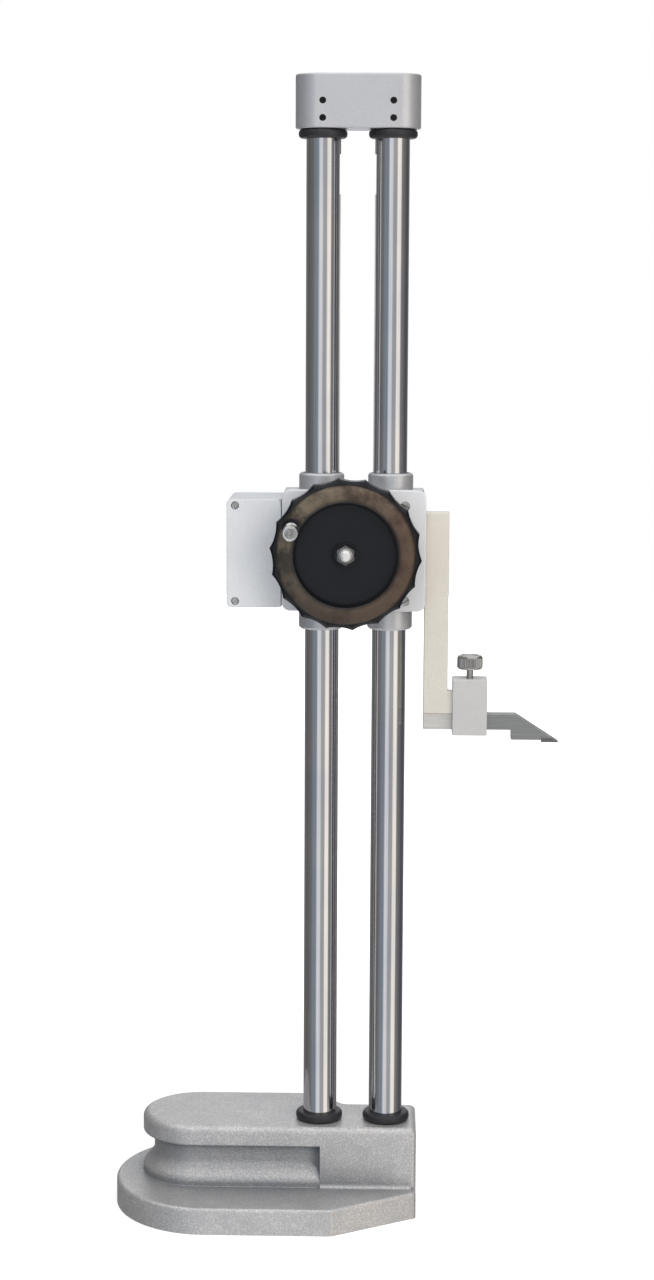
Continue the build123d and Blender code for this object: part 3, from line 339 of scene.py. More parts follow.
def makeSatinCoat(name, colour, roughness, metallic=0.0, grainSize=1600.0, bump=0.12, coat=0.0):
    # sprayed or anodised satin skin: very fine grain and a slow drift of tone
    material, tree, shader = newMaterial(name)
    grain = useGroup(tree, fineGrain, Vector=objectPoints(tree), Scale=grainSize, Coarse_Scale=38.0)
    edges = useGroup(tree, edgeWearAndHighlight, Radius=0.0005, Contrast=4.0)
    mask = grain.outputs["Mask"]
    darker = tuple(channel * 0.93 for channel in colour)
    lighter = tuple(min(1.0, channel * 1.05) for channel in colour)
    tone = colourRamp(tree, mask, [(0.35, darker), (0.65, lighter)])
    tints = [(0.3, (0.965, 0.965, 0.97)), (0.7, (1.02, 1.02, 1.015))]
    drift = colourRamp(tree, grain.outputs["Coarse"], tints)
    setInputs(tree, shader, Metallic=metallic, Coat_Weight=coat,
              Base_Color=mixColour(tree, 1.0, tone, drift, "MULTIPLY"),
              Roughness=mapRange(tree, mask, 0.3, 0.7, roughness - 0.04, roughness + 0.05),
              Normal=bumpNode(tree, mask, bump, 0.00008, edges.outputs["Soft Normal"]))
    return material


# radii, reaches and places across the wheel are in millimetres
# the olive and brown tones paint shade on the left and light on the right of the ring; the rubbed colour is a
# lighter worn tone that also paints a highlight; the reaches round the crank knob paint its shadow in black
wheelFinish = {
    "black": (0.005, 0.0065, 0.010), "rightLitBrown": (0.082, 0.052, 0.036), "leftShadedOlive": (0.048, 0.041, 0.031),
    "rubbedAndLit": (0.165, 0.135, 0.096),
    "bloomStart": 31.0, "bloomFull": 33.6, "bloomFades": 41.6, "bloomEnd": 43.6,
    "faceStart": -44.0, "faceFull": -47.5, "halfWide": 34.0, "wearAndLightToward": (-0.6, 0, 0.8),
    "wearAndLightStart": -10.0, "wearAndLightFull": 36.0, "knobShadowFull": 5.3, "knobShadowEnd": 6.2, "knobShadowRise": 1.1, "hub": 12.0,
}


def makePhenolic():
    # moulded phenolic: near black, with a brown mottled bloom on the raised ring where hands rub it; painted
    # shade darkens the ring's left side, lighter worn patches that also paint a highlight sit at the upper
    # left, and a painted shadow rings the crank knob's root
    w = wheelFinish
    material, tree, shader = newMaterial("black phenolic moulding")
    points = objectPoints(tree)
    grain = useGroup(tree, fineGrain, Vector=points, Scale=1900.0, Coarse_Scale=70.0)
    centre = nodeMiddle("wheel_cap_nut")
    radius = fromAxis(tree, points, centre.x, centre.z)
    centred = vectorMath(tree, "SUBTRACT", points, (centre.x, 0, centre.z))
    split = addNode(tree, "ShaderNodeSeparateXYZ", [(0, centred)])
    ringIn = mapRange(tree, radius, w["bloomStart"] * mm, w["bloomFull"] * mm, 0.0, 1.0)
    ringOut = mapRange(tree, radius, w["bloomEnd"] * mm, w["bloomFades"] * mm, 0.0, 1.0)
    facing = mapRange(tree, split.outputs["Y"], w["faceStart"] * mm, w["faceFull"] * mm, 0.0, 1.0)
    ringFace = mathNode(tree, "MULTIPLY", mathNode(tree, "MULTIPLY", ringIn, ringOut), facing)
    patches = addNode(tree, "ShaderNodeTexNoise")
    setInputs(tree, patches, Vector=points, Scale=75.0, Detail=6, Roughness=0.66)
    patch = patches.outputs["Fac"]
    # painted shade: the ring runs from a darker olive on the left to a lighter brown on the right, following
    # how the light falls
    across = mapRange(tree, split.outputs["X"], -w["halfWide"] * mm, w["halfWide"] * mm, 0.0, 1.0)
    ground = mixColour(tree, across, w["leftShadedOlive"], w["rightLitBrown"])
    tones = [(0.32, (0.60, 0.60, 0.61)), (0.5, (1, 1, 1)), (0.68, (1.0, 0.98, 0.95))]
    ground = mixColour(tree, 1.0, ground, colourRamp(tree, patch, tones), "MULTIPLY")
    # lighter worn patches, strongest towards the upper left, where they also paint a highlight
    toward = vectorMath(tree, "DOT_PRODUCT", centred, w["wearAndLightToward"])
    where = mapRange(tree, toward, w["wearAndLightStart"] * mm, w["wearAndLightFull"] * mm, 0.10, 0.85)
    worn = colourRamp(tree, patch, [(0.42, (0, 0, 0)), (0.60, (1, 1, 1))])
    mottle = mixColour(tree, mathNode(tree, "MULTIPLY", worn, where), ground, w["rubbedAndLit"])
    bloom = mixColour(tree, ringFace, w["black"], mottle)
    # painted shadow: a black collar round the crank knob's root, set a little high, where the knob's shade
    # falls on the wheel
    knob = nodeMiddle("crank_knob")
    nearBy = fromAxis(tree, points, knob.x, knob.z + w["knobShadowRise"] * mm)
    knobShadow = mapRange(tree, nearBy, w["knobShadowFull"] * mm, w["knobShadowEnd"] * mm, 1.0, 0.0)
    bloom = mixColour(tree, knobShadow, bloom, w["black"])
    specks = colourRamp(tree, grain.outputs["Mask"], [(0.38, (0.74, 0.74, 0.74)), (0.66, (1.0, 1.0, 1.0))])
    # two turned rings round the hub: a height that steps with the distance from the axis
    inHub = mapRange(tree, radius, 0.0, w["hub"] * mm, 0.0, 1.0)
    steps = [(0.0, 1.0), (0.60, 1.0), (0.62, 0.4), (0.68, 0.8), (0.70, 0.8), (0.72, 0.0)]
    rings = colourRamp(tree, inHub, [(place, (height, height, height)) for place, height in steps])
    hub = bumpNode(tree, rings, 0.7, 0.0004)
    rough = bumpNode(tree, grain.outputs["Mask"], 0.35, 0.00010, hub)
    setInputs(tree, shader, Specular_IOR_Level=0.32,
              Base_Color=mixColour(tree, 1.0, bloom, specks, "MULTIPLY"),
              Roughness=mapRange(tree, ringFace, 0.0, 1.0, 0.36, 0.44),
              Normal=bumpNode(tree, grain.outputs["Coarse"], 0.10, 0.0004, rough))
    return material


# the place and width of the change are in metres along X
scriberSteel = {
    "pale": (0.60, 0.59, 0.56), "dark": (0.24, 0.25, 0.25), "edge": (0.75, 0.75, 0.74), "wear": 0.4,
    "turnsAt": 0.066, "width": 0.016,
}


def makeScriberSteel():
    # ground bar, lighter at the end under the arm and darker towards the tip; fine grinding lines along it
    s = scriberSteel
    material, tree, shader = newMaterial("hardened scriber steel")
    stretched = objectPoints(tree, (0.03, 1, 1))
    lines = useGroup(tree, brushedStreaks, Stretched_Vector=stretched, Density=1500.0).outputs["Streak"]
    edges = useGroup(tree, edgeWearAndHighlight, Radius=0.0004, Contrast=5.0)
    split = addNode(tree, "ShaderNodeSeparateXYZ", [(0, objectPoints(tree))])
    along = mapRange(tree, split.outputs["X"], s["turnsAt"] - s["width"], s["turnsAt"] + s["width"], 0.0, 1.0)
    tone = mixColour(tree, along, s["pale"], s["dark"])
    fleck = colourRamp(tree, lines, [(0.3, (0.92, 0.92, 0.92)), (0.7, (1.08, 1.08, 1.08))])
    tone = mixColour(tree, 1.0, tone, fleck, "MULTIPLY")
    worn = mathNode(tree, "MULTIPLY", edges.outputs["Mask"], s["wear"])
    setInputs(tree, shader, Metallic=0.5, Base_Color=mixColour(tree, worn, tone, s["edge"]),
              Roughness=mapRange(tree, lines, 0.3, 0.7, 0.30, 0.42),
              Normal=bumpNode(tree, lines, 0.08, 0.00005, edges.outputs["Soft Normal"]))
    return material


# domeEdge and flatStart are distances from the nut's axis in millimetres
# the dark flats colour is painted shade and the pale edge colour a painted highlight
capNut = {
    "dome": (0.84, 0.84, 0.835), "shadedFlats": (0.10, 0.10, 0.105), "edge": (0.85, 0.85, 0.85),
    "domeEdge": 4.0, "flatStart": 4.3, "metallic": 0.72,
}


def makeCapNutSteel():
    # satin plating on the dome; painted shade darkens the flats round it, and a painted highlight lightens the
    # edges
    material, tree, shader = newMaterial("cap nut plating")
    points = objectPoints(tree)
    mask = useGroup(tree, fineGrain, Vector=points, Scale=1500.0, Coarse_Scale=200.0).outputs["Mask"]
    edges = useGroup(tree, edgeWearAndHighlight, Radius=0.0003, Contrast=6.0)
    centre = nodeMiddle("wheel_cap_nut")
    radius = fromAxis(tree, points, centre.x, centre.z)
    # painted shade: beyond the dome the flats turn dark; painted highlight: edges are mixed towards the pale
    # edge colour
    shadedFlatsMask = mapRange(tree, radius, capNut["domeEdge"] * mm, capNut["flatStart"] * mm, 0.0, 1.0)
    tone = mixColour(tree, shadedFlatsMask, capNut["dome"], capNut["shadedFlats"])
    setInputs(tree, shader, Metallic=capNut["metallic"],
              Base_Color=mixColour(tree, edges.outputs["Mask"], tone, capNut["edge"]),
              Roughness=mapRange(tree, mask, 0.3, 0.7, 0.36, 0.46),
              Normal=bumpNode(tree, mask, 0.05, 0.00005, edges.outputs["Soft Normal"]))
    return material


def makeClearGlass():
    material, tree, shader = newMaterial("clear glass")
    grain = useGroup(tree, fineGrain, Vector=objectPoints(tree), Scale=300.0, Coarse_Scale=30.0)
    mask = grain.outputs["Mask"]
    setInputs(tree, shader, Transmission_Weight=1.0, IOR=1.46,
              Base_Color=colourRamp(tree, mask, [(0.3, (0.97, 0.985, 0.985)), (0.7, (1, 1, 1))]),
              Roughness=mapRange(tree, mask, 0.3, 0.7, 0.01, 0.03))
    return material


streaksX, streaksY, streaksZ = (0.03, 1, 1), (1, 0.03, 1), (1, 1, 0.03)
metal, satin = makeMachinedMetal, makeSatinCoat
finishes = {
    "hammered_paint": makeHammeredPaint(),
    "ground_steel": makeGroundSteel(),
    "rack_steel": metal("cut rack steel", (0.20, 0.20, 0.205), (0.33, 0.325, 0.32), 0.36, streaksY, 1500.0),
    "black_rubber": satin("black rubber", (0.018, 0.018, 0.022), 0.42, grainSize=2200.0, bump=0.2),
    "satin_aluminium": satin("satin anodised aluminium", (0.60, 0.61, 0.635), 0.38, metallic=0.7, bump=0.06),
    "grey_plate": satin("pale grey paint", (0.60, 0.62, 0.645), 0.42, bump=0.05),
    "black_phenolic": makePhenolic(),
    "black_steel": metal("blackened steel", (0.02, 0.02, 0.022), (0.05, 0.05, 0.055), 0.35, streaksY, 1200.0,
                         wear=0.5),
    "bright_chrome": metal("bright plating", (0.74, 0.74, 0.75), (0.84, 0.84, 0.84), 0.14, streaksY, 900.0,
                           bump=0.04, wear=0.1),
    "bronze": metal("bush bronze", (0.42, 0.27, 0.13), (0.58, 0.40, 0.20), 0.36, streaksZ, 1200.0),
    "brass": metal("turned brass", (0.62, 0.46, 0.20), (0.80, 0.63, 0.32), 0.28, streaksY, 1200.0),
    "satin_steel": satin("satin arm steel", (0.69, 0.66, 0.595), 0.38, metallic=0.35, grainSize=1900.0,
                         bump=0.05),
    "dark_steel": makeScriberSteel(),
    "carbide": metal("carbide tip", (0.16, 0.16, 0.165), (0.24, 0.24, 0.245), 0.30, streaksX, 1400.0,
                     metallic=0.8),
    "knurled_steel": metal("nickel plate", (0.42, 0.415, 0.40), (0.58, 0.575, 0.56), 0.28, streaksZ, 1100.0),
    "dial_white": satin("dial white", (0.82, 0.82, 0.79), 0.45),
    "pointer_black": satin("black enamel", (0.012, 0.012, 0.012), 0.30, coat=0.2),
    "counter_black": satin("matt black wheel", (0.02, 0.02, 0.02), 0.55),
    "clear_glass": makeClearGlass(),
}
knobPlate = metal("satin plated knob", (0.62, 0.62, 0.62), (0.76, 0.76, 0.755), 0.24, streaksY, 900.0,
                  bump=0.05)
brightScrew = metal("bright screw head", (0.50, 0.49, 0.47), (0.62, 0.60, 0.57), 0.30, streaksY, 700.0,
                    bump=0.04)
wornScrew = metal("worn screw steel", (0.52, 0.52, 0.51), (0.66, 0.65, 0.63), 0.26, streaksX, 700.0,
                  wear=0.6, bump=0.05)
paleBox = satin("satin clamp box", (0.56, 0.56, 0.56), 0.36, metallic=0.35, grainSize=1900.0, bump=0.05)
ownFinish = {
    "rear_cover_screws": wornScrew, "housing_back_screws": wornScrew, "clamp_box": paleBox,
    "wheel_washer": finishes["black_steel"], "wheel_cap_nut": makeCapNutSteel(), "crank_knob": knobPlate,
}
slotOf = {row["node"]: row["material_slot"] for row in frame["record"]["subparts"]}
for name, piece in frame["nodes"].items():
    piece.data.materials.clear()
    piece.data.materials.append(ownFinish.get(name, finishes[slotOf[name]]))
print("finishes:", len(finishes))


# ---- turned pieces, knurls, slotted screws and fine racks

bodyOfNode = {node: body for body, nodes in frame["record"]["behaviour"]["bodies"].items() for node in nodes}
turnedAngle = 32


def rideAs(piece, body, finish):
    piece.data.materials.append(finish)
    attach(piece, body)


def standsFor(piece, node, finish):
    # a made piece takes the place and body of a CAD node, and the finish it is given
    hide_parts(node)
    rideAs(piece, bodyOfNode[node], finish)


def closedRings(local, origin, along):
    # rows of rings joined by quads, with a fan to a middle point at each end
    # local is (rows, turns, 3) with the distance along the axis last
    rows, turns = local.shape[:2]
    ends = np.array([[0, 0, local[0, 0, 2]], [0, 0, local[-1, 0, 2]]])
    points = np.concatenate([local.reshape(-1, 3), ends])
    if along == "Y":
        points = points[:, [1, 2, 0]]
    ring = np.arange(turns)
    after = (ring + 1) % turns
    low, high = np.full(turns, rows * turns), np.full(turns, rows * turns + 1)
    last = (rows - 1) * turns
    faces = gridQuads(rows, turns, closeColumns=True).tolist()
    faces += np.stack([low, after, ring], -1).tolist()
    faces += np.stack([high, last + ring, last + after], -1).tolist()
    return (points + np.array(origin)) * mm, faces


def ringAt(radius, height, angle):
    return np.stack([radius * np.cos(angle), radius * np.sin(angle), np.full(len(angle), height)], -1)


def joinShapes(name, shapes, smoothAngle=None):
    # shapes are pairs of points and faces; each one's faces are moved on by the points before it
    points, faces, start = [], [], 0
    for shapePoints, shapeFaces in shapes:
        points.append(shapePoints)
        faces += [[start + index for index in face] for face in shapeFaces]
        start += len(shapePoints)
    return addMesh(name, np.concatenate(points), faces, smoothAngle)


def turnedPiece(name, origin, along, profile, teeth=0, depth=0.0, turns=None):
    # a profile row is radius, height and 1 where it is knurled; the knurl takes away depth times half of
    # 1 minus the cosine of teeth times the angle
    profile = np.array(profile, dtype=float)
    turns = turns or max(64, teeth * 6)
    angle = np.linspace(0, 2 * np.pi, turns, endpoint=False)
    radius = profile[:, :1] - depth * profile[:, 2:] * (1 - np.cos(teeth * angle)) / 2
    height = np.repeat(profile[:, 1:2], turns, 1)
    local = np.stack([radius * np.cos(angle), radius * np.sin(angle), height], -1)
    return addMesh(name, *closedRings(local, origin, along), turnedAngle)


# all sizes from here to the scale are in millimetres
thumbScrew = {
    "shank": 2.0, "head": 7.8, "headTall": 8.3, "edge": 0.9, "dish": 0.4, "teeth": 44, "depth": 0.55,
}


def makeThumbScrew():
    # plain shank, then a straight-knurled head with a smooth band at each end and a shallow dish on top
    low, high, (x, y, z) = boxInMm("thumb_screw")
    bottom, top = low[2], high[2]
    shank, head, edge, dish = (thumbScrew[key] for key in ("shank", "head", "edge", "dish"))
    seat = top - thumbScrew["headTall"]
    rows = [
        (shank - 0.3, bottom, 0), (shank, bottom + 0.3, 0), (shank, seat, 0), (head - edge, seat, 0),
        (head - 0.3, seat + 0.5, 0), (head - 0.1, seat + 1.0, 0), (head, seat + 1.25, 1),
        (head, top - 1.6, 1), (head - 0.1, top - 1.3, 0), (head - 0.3, top - 0.6, 0),
        (head - edge - 0.2, top, 0), (head - 2.6, top, 0), (head - 3.0, top - dish, 0), (1.2, top - dish, 0),
    ]
    piece = turnedPiece("thumbScrewKnurled", (x, y, 0), "Z", rows, thumbScrew["teeth"], thumbScrew["depth"])
    standsFor(piece, "thumb_screw", finishes["knurled_steel"])


lockKnob = {
    "stem": 2.0, "neck": 3.8, "head": 6.2, "neckLong": 3.0, "long": 13.0, "dish": 0.4,
    "teeth": 40, "depth": 0.45,
}


def makeLockKnob():
    # stem through the boss, a neck and a knurled head along the dial side
    low, high, (x, y, z) = boxInMm("lock_knob")
    start, end = low[1], high[1]
    stem, neck, head, dish = (lockKnob[key] for key in ("stem", "neck", "head", "dish"))
    seat = end - lockKnob["long"]
    headSeat = seat + lockKnob["neckLong"]
    rows = [
        (stem - 0.3, start, 0), (stem, start + 0.3, 0), (stem, seat, 0), (neck, seat, 0),
        (neck, headSeat, 0), (head - 0.9, headSeat, 0), (head - 0.15, headSeat + 0.8, 0),
        (head, headSeat + 1.1, 1), (head, end - 1.4, 1), (head - 0.15, end - 1.1, 0),
        (head - 1.0, end, 0), (head - 2.4, end, 0), (head - 2.8, end - dish, 0), (1.0, end - dish, 0),
    ]
    piece = turnedPiece("lockKnobKnurled", (x, 0, z), "Y", rows, lockKnob["teeth"], lockKnob["depth"])
    standsFor(piece, "lock_knob", finishes["knurled_steel"])


crankScrew = {
    "head": 2.4, "shank": 2.0, "headTall": 1.9, "crown": 0.45,
    "arm": 1.7, "slot": 0.5, "slotBlur": 0.14, "deep": 1.2,
}


def softInside(distance, half, blur):
    # 1 nearer than half, 0 farther, falling in a straight line over blur
    return np.clip((half - distance) / blur + 0.5, 0, 1)


def makeCrankScrew():
    # depth below the head's middle: the crown times r squared over the head's radius squared, plus the
    # slot's depth times the larger of its two arms' masks; then a plain shank
    low, high, (x, y, z) = boxInMm("crank_screw")
    front, rear = low[1], high[1]
    head, shank, arm, slot, blur = (crankScrew[key] for key in ("head", "shank", "arm", "slot", "slotBlur"))
    angle = np.linspace(0, 2 * np.pi, 128, endpoint=False)
    ringRadius = np.linspace(0.08, head, 30)
    u, v = np.outer(ringRadius, np.cos(angle)), np.outer(ringRadius, np.sin(angle))
    level = softInside(np.abs(u), slot, blur) * softInside(np.abs(v), arm, blur)
    upright = softInside(np.abs(v), slot, blur) * softInside(np.abs(u), arm, blur)
    fall = crankScrew["crown"] * (u ** 2 + v ** 2) / head ** 2
    face = np.stack([u, v, front + fall + crankScrew["deep"] * np.maximum(level, upright)], -1)
    seat = front + crankScrew["headTall"]
    sides = [ringAt(radius, height, angle) for radius, height in ((head, seat), (shank, seat), (shank, rear))]
    points, faces = closedRings(np.concatenate([face, np.stack(sides)]), (x, 0, z), "Y")
    standsFor(addMesh("crankScrewCrossSlot", points, faces, turnedAngle), "crank_screw", brightScrew)


# slots gives each row's slot angle in degrees
slottedScrews = {
    "housing_back_screws": {"radius": 2.2, "tall": 1.8, "slots": {"low": 48, "high": -42}},
    "rear_cover_screws": {"radius": 2.7, "tall": 2.2, "slots": {"low": 20, "high": -35}},
}
# oneRow is the width under which a set of screws has a single row
screwHead = {
    "shank": 1.5, "crown": 0.25, "edge": 0.25, "deep": 1.2, "slot": 0.55, "slotBlur": 0.12, "oneRow": 8.0,
}


def slottedScrew(x, z, front, rear, radius, tall, slotTurn):
    # depth below the head's middle: the crown times r squared over the radius squared, a chamfer on the last
    # ring, and the slot's depth where the distance from the slot's line is less than its half width
    angle = np.linspace(0, 2 * np.pi, 96, endpoint=False)
    ringRadius = np.append(np.linspace(0.08, radius - screwHead["edge"], 18), radius)
    u, v = np.outer(ringRadius, np.cos(angle)), np.outer(ringRadius, np.sin(angle))
    slotAngle = math.radians(slotTurn)
    distance = np.abs(u * math.cos(slotAngle) - v * math.sin(slotAngle))
    slot = softInside(distance, screwHead["slot"], screwHead["slotBlur"])
    fall = screwHead["crown"] * (u ** 2 + v ** 2) / radius ** 2
    fall[-1] += screwHead["edge"]
    face = np.stack([u, v, front + fall + screwHead["deep"] * slot], -1)
    shank, seat = screwHead["shank"], front + tall
    sides = [ringAt(r, height, angle) for r, height in ((radius, seat), (shank, seat), (shank, rear))]
    return closedRings(np.concatenate([face, np.stack(sides)]), (x, 0, z), "Y")


def makeSlottedScrews(node):
    low, high, middle = boxInMm(node)
    style = slottedScrews[node]
    reach, slots = style["radius"], style["slots"]
    across = [low[0] + reach]
    if high[0] - low[0] > screwHead["oneRow"]:
        across.append(high[0] - reach)
    shapes = []
    for x in across:
        for z, turn in ((low[2] + reach, slots["low"]), (high[2] - reach, slots["high"])):
            shapes.append(slottedScrew(x, z, low[1], high[1], reach, style["tall"], turn + x / 3))
    standsFor(joinShapes(node + "_slotted", shapes, turnedAngle), node, wornScrew)


crankKnob = {
    "big": 4.7, "waist": 3.7, "collar": 2.6, "recess": 3.0, "recessDeep": 2.8, "bore": 1.2, "baseBore": 1.8,
}


def makeCrankKnob():
    # collar, waist that swells to the front, rounded front edge and a round recess for the screw
    low, high, (x, y, z) = boxInMm("crank_knob")
    front, base = low[1], high[1]
    big, waist, recess, deep = (crankKnob[key] for key in ("big", "waist", "recess", "recessDeep"))
    collar = base - crankKnob["collar"]
    rows = [
        (crankKnob["bore"], front + deep, 0), (recess, front + deep, 0), (recess, front + 0.25, 0),
        (recess + 0.25, front, 0), (big - 0.8, front, 0), (big - 0.35, front + 0.12, 0),
        (big - 0.1, front + 0.4, 0), (big, front + 0.8, 0), (big, front + 2.2, 0),
        (big - 0.12, front + 4.0, 0), (waist + 0.55, front + 6.5, 0), (waist + 0.25, front + 9.5, 0),
        (waist + 0.05, front + 13.0, 0),
        (waist, collar - 1, 0), (big - 0.2, collar, 0), (big, collar + 0.25, 0), (big, base, 0),
        (crankKnob["baseBore"], base, 0),
    ]
    standsFor(turnedPiece("crankKnobTurned", (x, 0, z), "Y", rows, turns=96), "crank_knob", knobPlate)


# steps are the root, the two tips and the next root as shares of the pitch
fineRack = {
    "proud": 0.78, "pitch": 1.25, "depth": 0.78, "steps": (0.0, 0.13, 0.5, 0.63),
    "firstTooth": 1.5, "teethTop": 632.0, "landLow": 653.5,
}


def makeFineRack(node):
    # a bar whose inner face steps in and out in straight-sided teeth, with a plain land at the top
    low, high, middle = boxInMm(node)
    side = 1 if middle[0] > 0 else -1
    columnLow, columnHigh, columnMiddle = boxInMm("column_right" if side > 0 else "column_left")
    tip = (columnLow if side > 0 else columnHigh)[0] - side * fineRack["proud"]
    root = tip + side * fineRack["depth"]
    start, top = low[2], high[2]
    pitch = fineRack["pitch"]
    count = int((fineRack["teethTop"] - start - 2 * fineRack["firstTooth"]) / pitch)
    steps = np.arange(count)[:, None] * pitch + np.array(fineRack["steps"]) * pitch
    heights = (start + fineRack["firstTooth"] + steps).ravel()
    heights = np.concatenate([[start], heights, [fineRack["landLow"] - 0.01, fineRack["landLow"], top]])
    faceX = np.concatenate([[root], np.tile([root, tip, tip, root], count), [root, tip, tip]])
    wide = np.full(len(heights), (high[1] - low[1]) / 2)
    back = np.full(len(heights), (high if side > 0 else low)[0])
    corners = [(faceX, -wide), (faceX, wide), (back, wide), (back, -wide)]
    points = np.stack([np.stack([cx, cy, heights], -1) for cx, cy in corners], 1).reshape(-1, 3) * mm
    last = 4 * (len(heights) - 1)
    ends = [[3, 2, 1, 0], [last, last + 1, last + 2, last + 3]]
    faces = np.concatenate([gridQuads(len(heights), 4, closeColumns=True), ends])
    if side > 0:
        faces = faces[:, ::-1]
    standsFor(addMesh(node + "_fine", points, faces.tolist()), node, finishes["rack_steel"])


makeThumbScrew()
makeLockKnob()
makeCrankScrew()
makeCrankKnob()
for node in slottedScrews:
    makeSlottedScrews(node)
for node in ("feed_rack", "measuring_rack"):
    makeFineRack(node)
print("turned pieces ready")


# ---- scale lines and figures on the dial and the digit wheels

figureStyle = {"size": 1.4, "thick": 0.01, "curveSteps": 3, "weld": 0.00001}
figureStore = {}


def figureShape(text):
    # a figure about one unit high as points (right, up, out) and faces, from the plain built-in letters
    if text not in figureStore:
        curve = bpy.data.curves.new("figure", "FONT")
        curve.body = text
        curve.size = figureStyle["size"]
        curve.extrude = figureStyle["thick"]
        curve.align_x, curve.align_y = "CENTER", "CENTER"
        curve.resolution_u = figureStyle["curveSteps"]
        holder = addObject("figure", curve)
        bpy.context.view_layer.update()
        mesh = bpy.data.meshes.new_from_object(holder)
        work = bmesh.new()
        work.from_mesh(mesh)
        bmesh.ops.remove_doubles(work, verts=work.verts, dist=figureStyle["weld"])
        work.to_mesh(mesh)
        work.free()
        flat = np.empty(len(mesh.vertices) * 3, dtype=np.float32)
        mesh.vertices.foreach_get("co", flat)
        points = flat.reshape(-1, 3).astype(float)
        middle = (points.min(0) + points.max(0)) / 2
        figureStore[text] = (points - middle, [list(face.vertices) for face in mesh.polygons])
        bpy.data.objects.remove(holder)
        bpy.data.curves.remove(curve)
        bpy.data.meshes.remove(mesh)
    return figureStore[text]


# long, half and plain give a line's length and half its width; outer is where every line ends
boxFaces = [[0, 1, 2, 3], [7, 6, 5, 4], [0, 4, 5, 1], [1, 5, 6, 2], [2, 6, 7, 3], [3, 7, 4, 0]]
dialScale = {
    "outer": 24.4, "tall": 0.05, "long": (4.0, 0.26), "half": (3.0, 0.19), "plain": (2.2, 0.12),
    "figureRadius": 17.6, "figureHigh": 3.0, "figureLift": 0.03,
    "unit": "0.05 mm", "unitHigh": 1.9, "unitDrop": 8.5,
}


def makeDialMarks():
    # a hundred lines, long at each tenth, clockwise as the dial's reader sees them; figures stand upright
    low, high, (x, y, z) = boxInMm("dial_face")
    face = high[1]
    count = np.arange(100)[:, None]
    sizes = np.where(count % 5 == 0, dialScale["half"], dialScale["plain"])
    sizes = np.where(count % 10 == 0, dialScale["long"], sizes)
    turn = np.arange(100) * 2 * np.pi / 100
    outward = np.stack([-np.sin(turn), np.zeros(100), np.cos(turn)], -1)
    sideways = np.stack([-np.cos(turn), np.zeros(100), -np.sin(turn)], -1)
    far = outward * dialScale["outer"]
    near = outward * (dialScale["outer"] - sizes[:, :1])
    wide = sideways * sizes[:, 1:]
    rise = np.array([0, dialScale["tall"], 0])
    corners = [near - wide, near + wide, far + wide, far - wide]
    boxes = np.stack([corner + level for level in (rise, 0 * rise) for corner in corners], 1)
    shapes = [(box, boxFaces) for box in (boxes + np.array([x, face, z])) * mm]

    def placed(text, tall, right, up):
        points, faces = figureShape(text)
        across, upward, outOf = points.T * tall
        outOf = face + dialScale["figureLift"] + outOf
        return np.stack([x - right - across, outOf, z + up + upward], -1) * mm, faces

    for tens in range(10):
        turn = tens * 2 * math.pi / 10
        right, up = dialScale["figureRadius"] * math.sin(turn), dialScale["figureRadius"] * math.cos(turn)
        shapes.append(placed(str(tens * 10), dialScale["figureHigh"], right, up))
    shapes.append(placed(dialScale["unit"], dialScale["unitHigh"], 0, -dialScale["unitDrop"]))
    scale = joinShapes("dialScale", shapes)
    rideAs(scale, bodyOfNode["dial_face"], finishes["pointer_black"])


digitWheel = {"high": 4.6, "narrow": 0.85, "lift": 0.05}


def makeDigits(node):
    # ten figures bent round the wheel: the angle is the figure's place plus its height over the radius
    low, high, (x, y, z) = boxInMm(node)
    radius = (high[2] - low[2]) / 2
    shapes = []
    for digit in range(10):
        points, faces = figureShape(str(digit))
        across, upward, outOf = points.T * digitWheel["high"]
        angle = -2 * math.pi * digit / 10 + upward / radius
        reach = radius + digitWheel["lift"] + outOf
        bent = [x - across * digitWheel["narrow"], y + reach * np.cos(angle), z + reach * np.sin(angle)]
        shapes.append((np.stack(bent, -1) * mm, faces))
    digits = joinShapes(node + "_digits", shapes)
    rideAs(digits, bodyOfNode[node], finishes["dial_white"])


makeDialMarks()
for node in sorted(frame["nodes"]):
    if node.startswith("counter_up_") or node.startswith("counter_down_"):
        makeDigits(node)
print("scale and figures ready")


# ---- where it is seen from

cameraView = {
    "place": (15.9 * mm, -1491.9 * mm, 568.75 * mm), "yaw": 1.277, "pitch": 7.97, "roll": 0.255,
    "focalPixels": 2450.0, "frameHeight": 1280.0, "sensor": 36.0,
}


def makeCamera():
    yaw, pitch, roll = (math.radians(cameraView[key]) for key in ("yaw", "pitch", "roll"))
    forward = Vector((-math.sin(yaw) * math.cos(pitch), math.cos(yaw) * math.cos(pitch), -math.sin(pitch)))
    level = Vector((math.cos(yaw), math.sin(yaw), 0))
    upright = level.cross(forward)
    right = math.cos(roll) * level + math.sin(roll) * upright
    up = -math.sin(roll) * level + math.cos(roll) * upright
    data = bpy.data.cameras.new("viewCamera")
    data.sensor_fit = "VERTICAL"
    data.sensor_height = cameraView["sensor"]
    data.lens = cameraView["focalPixels"] / cameraView["frameHeight"] * cameraView["sensor"]
    camera = addObject("viewCamera", data)
    turn = Matrix((right, up, -forward)).transposed().to_4x4()
    camera.matrix_world = Matrix.Translation(cameraView["place"]) @ turn
    bpy.context.scene.camera = camera


makeCamera()
print("camera placed")


# ---- the studio: pale floor, a ring of toned walls that only light and reflections meet, four soft lamps

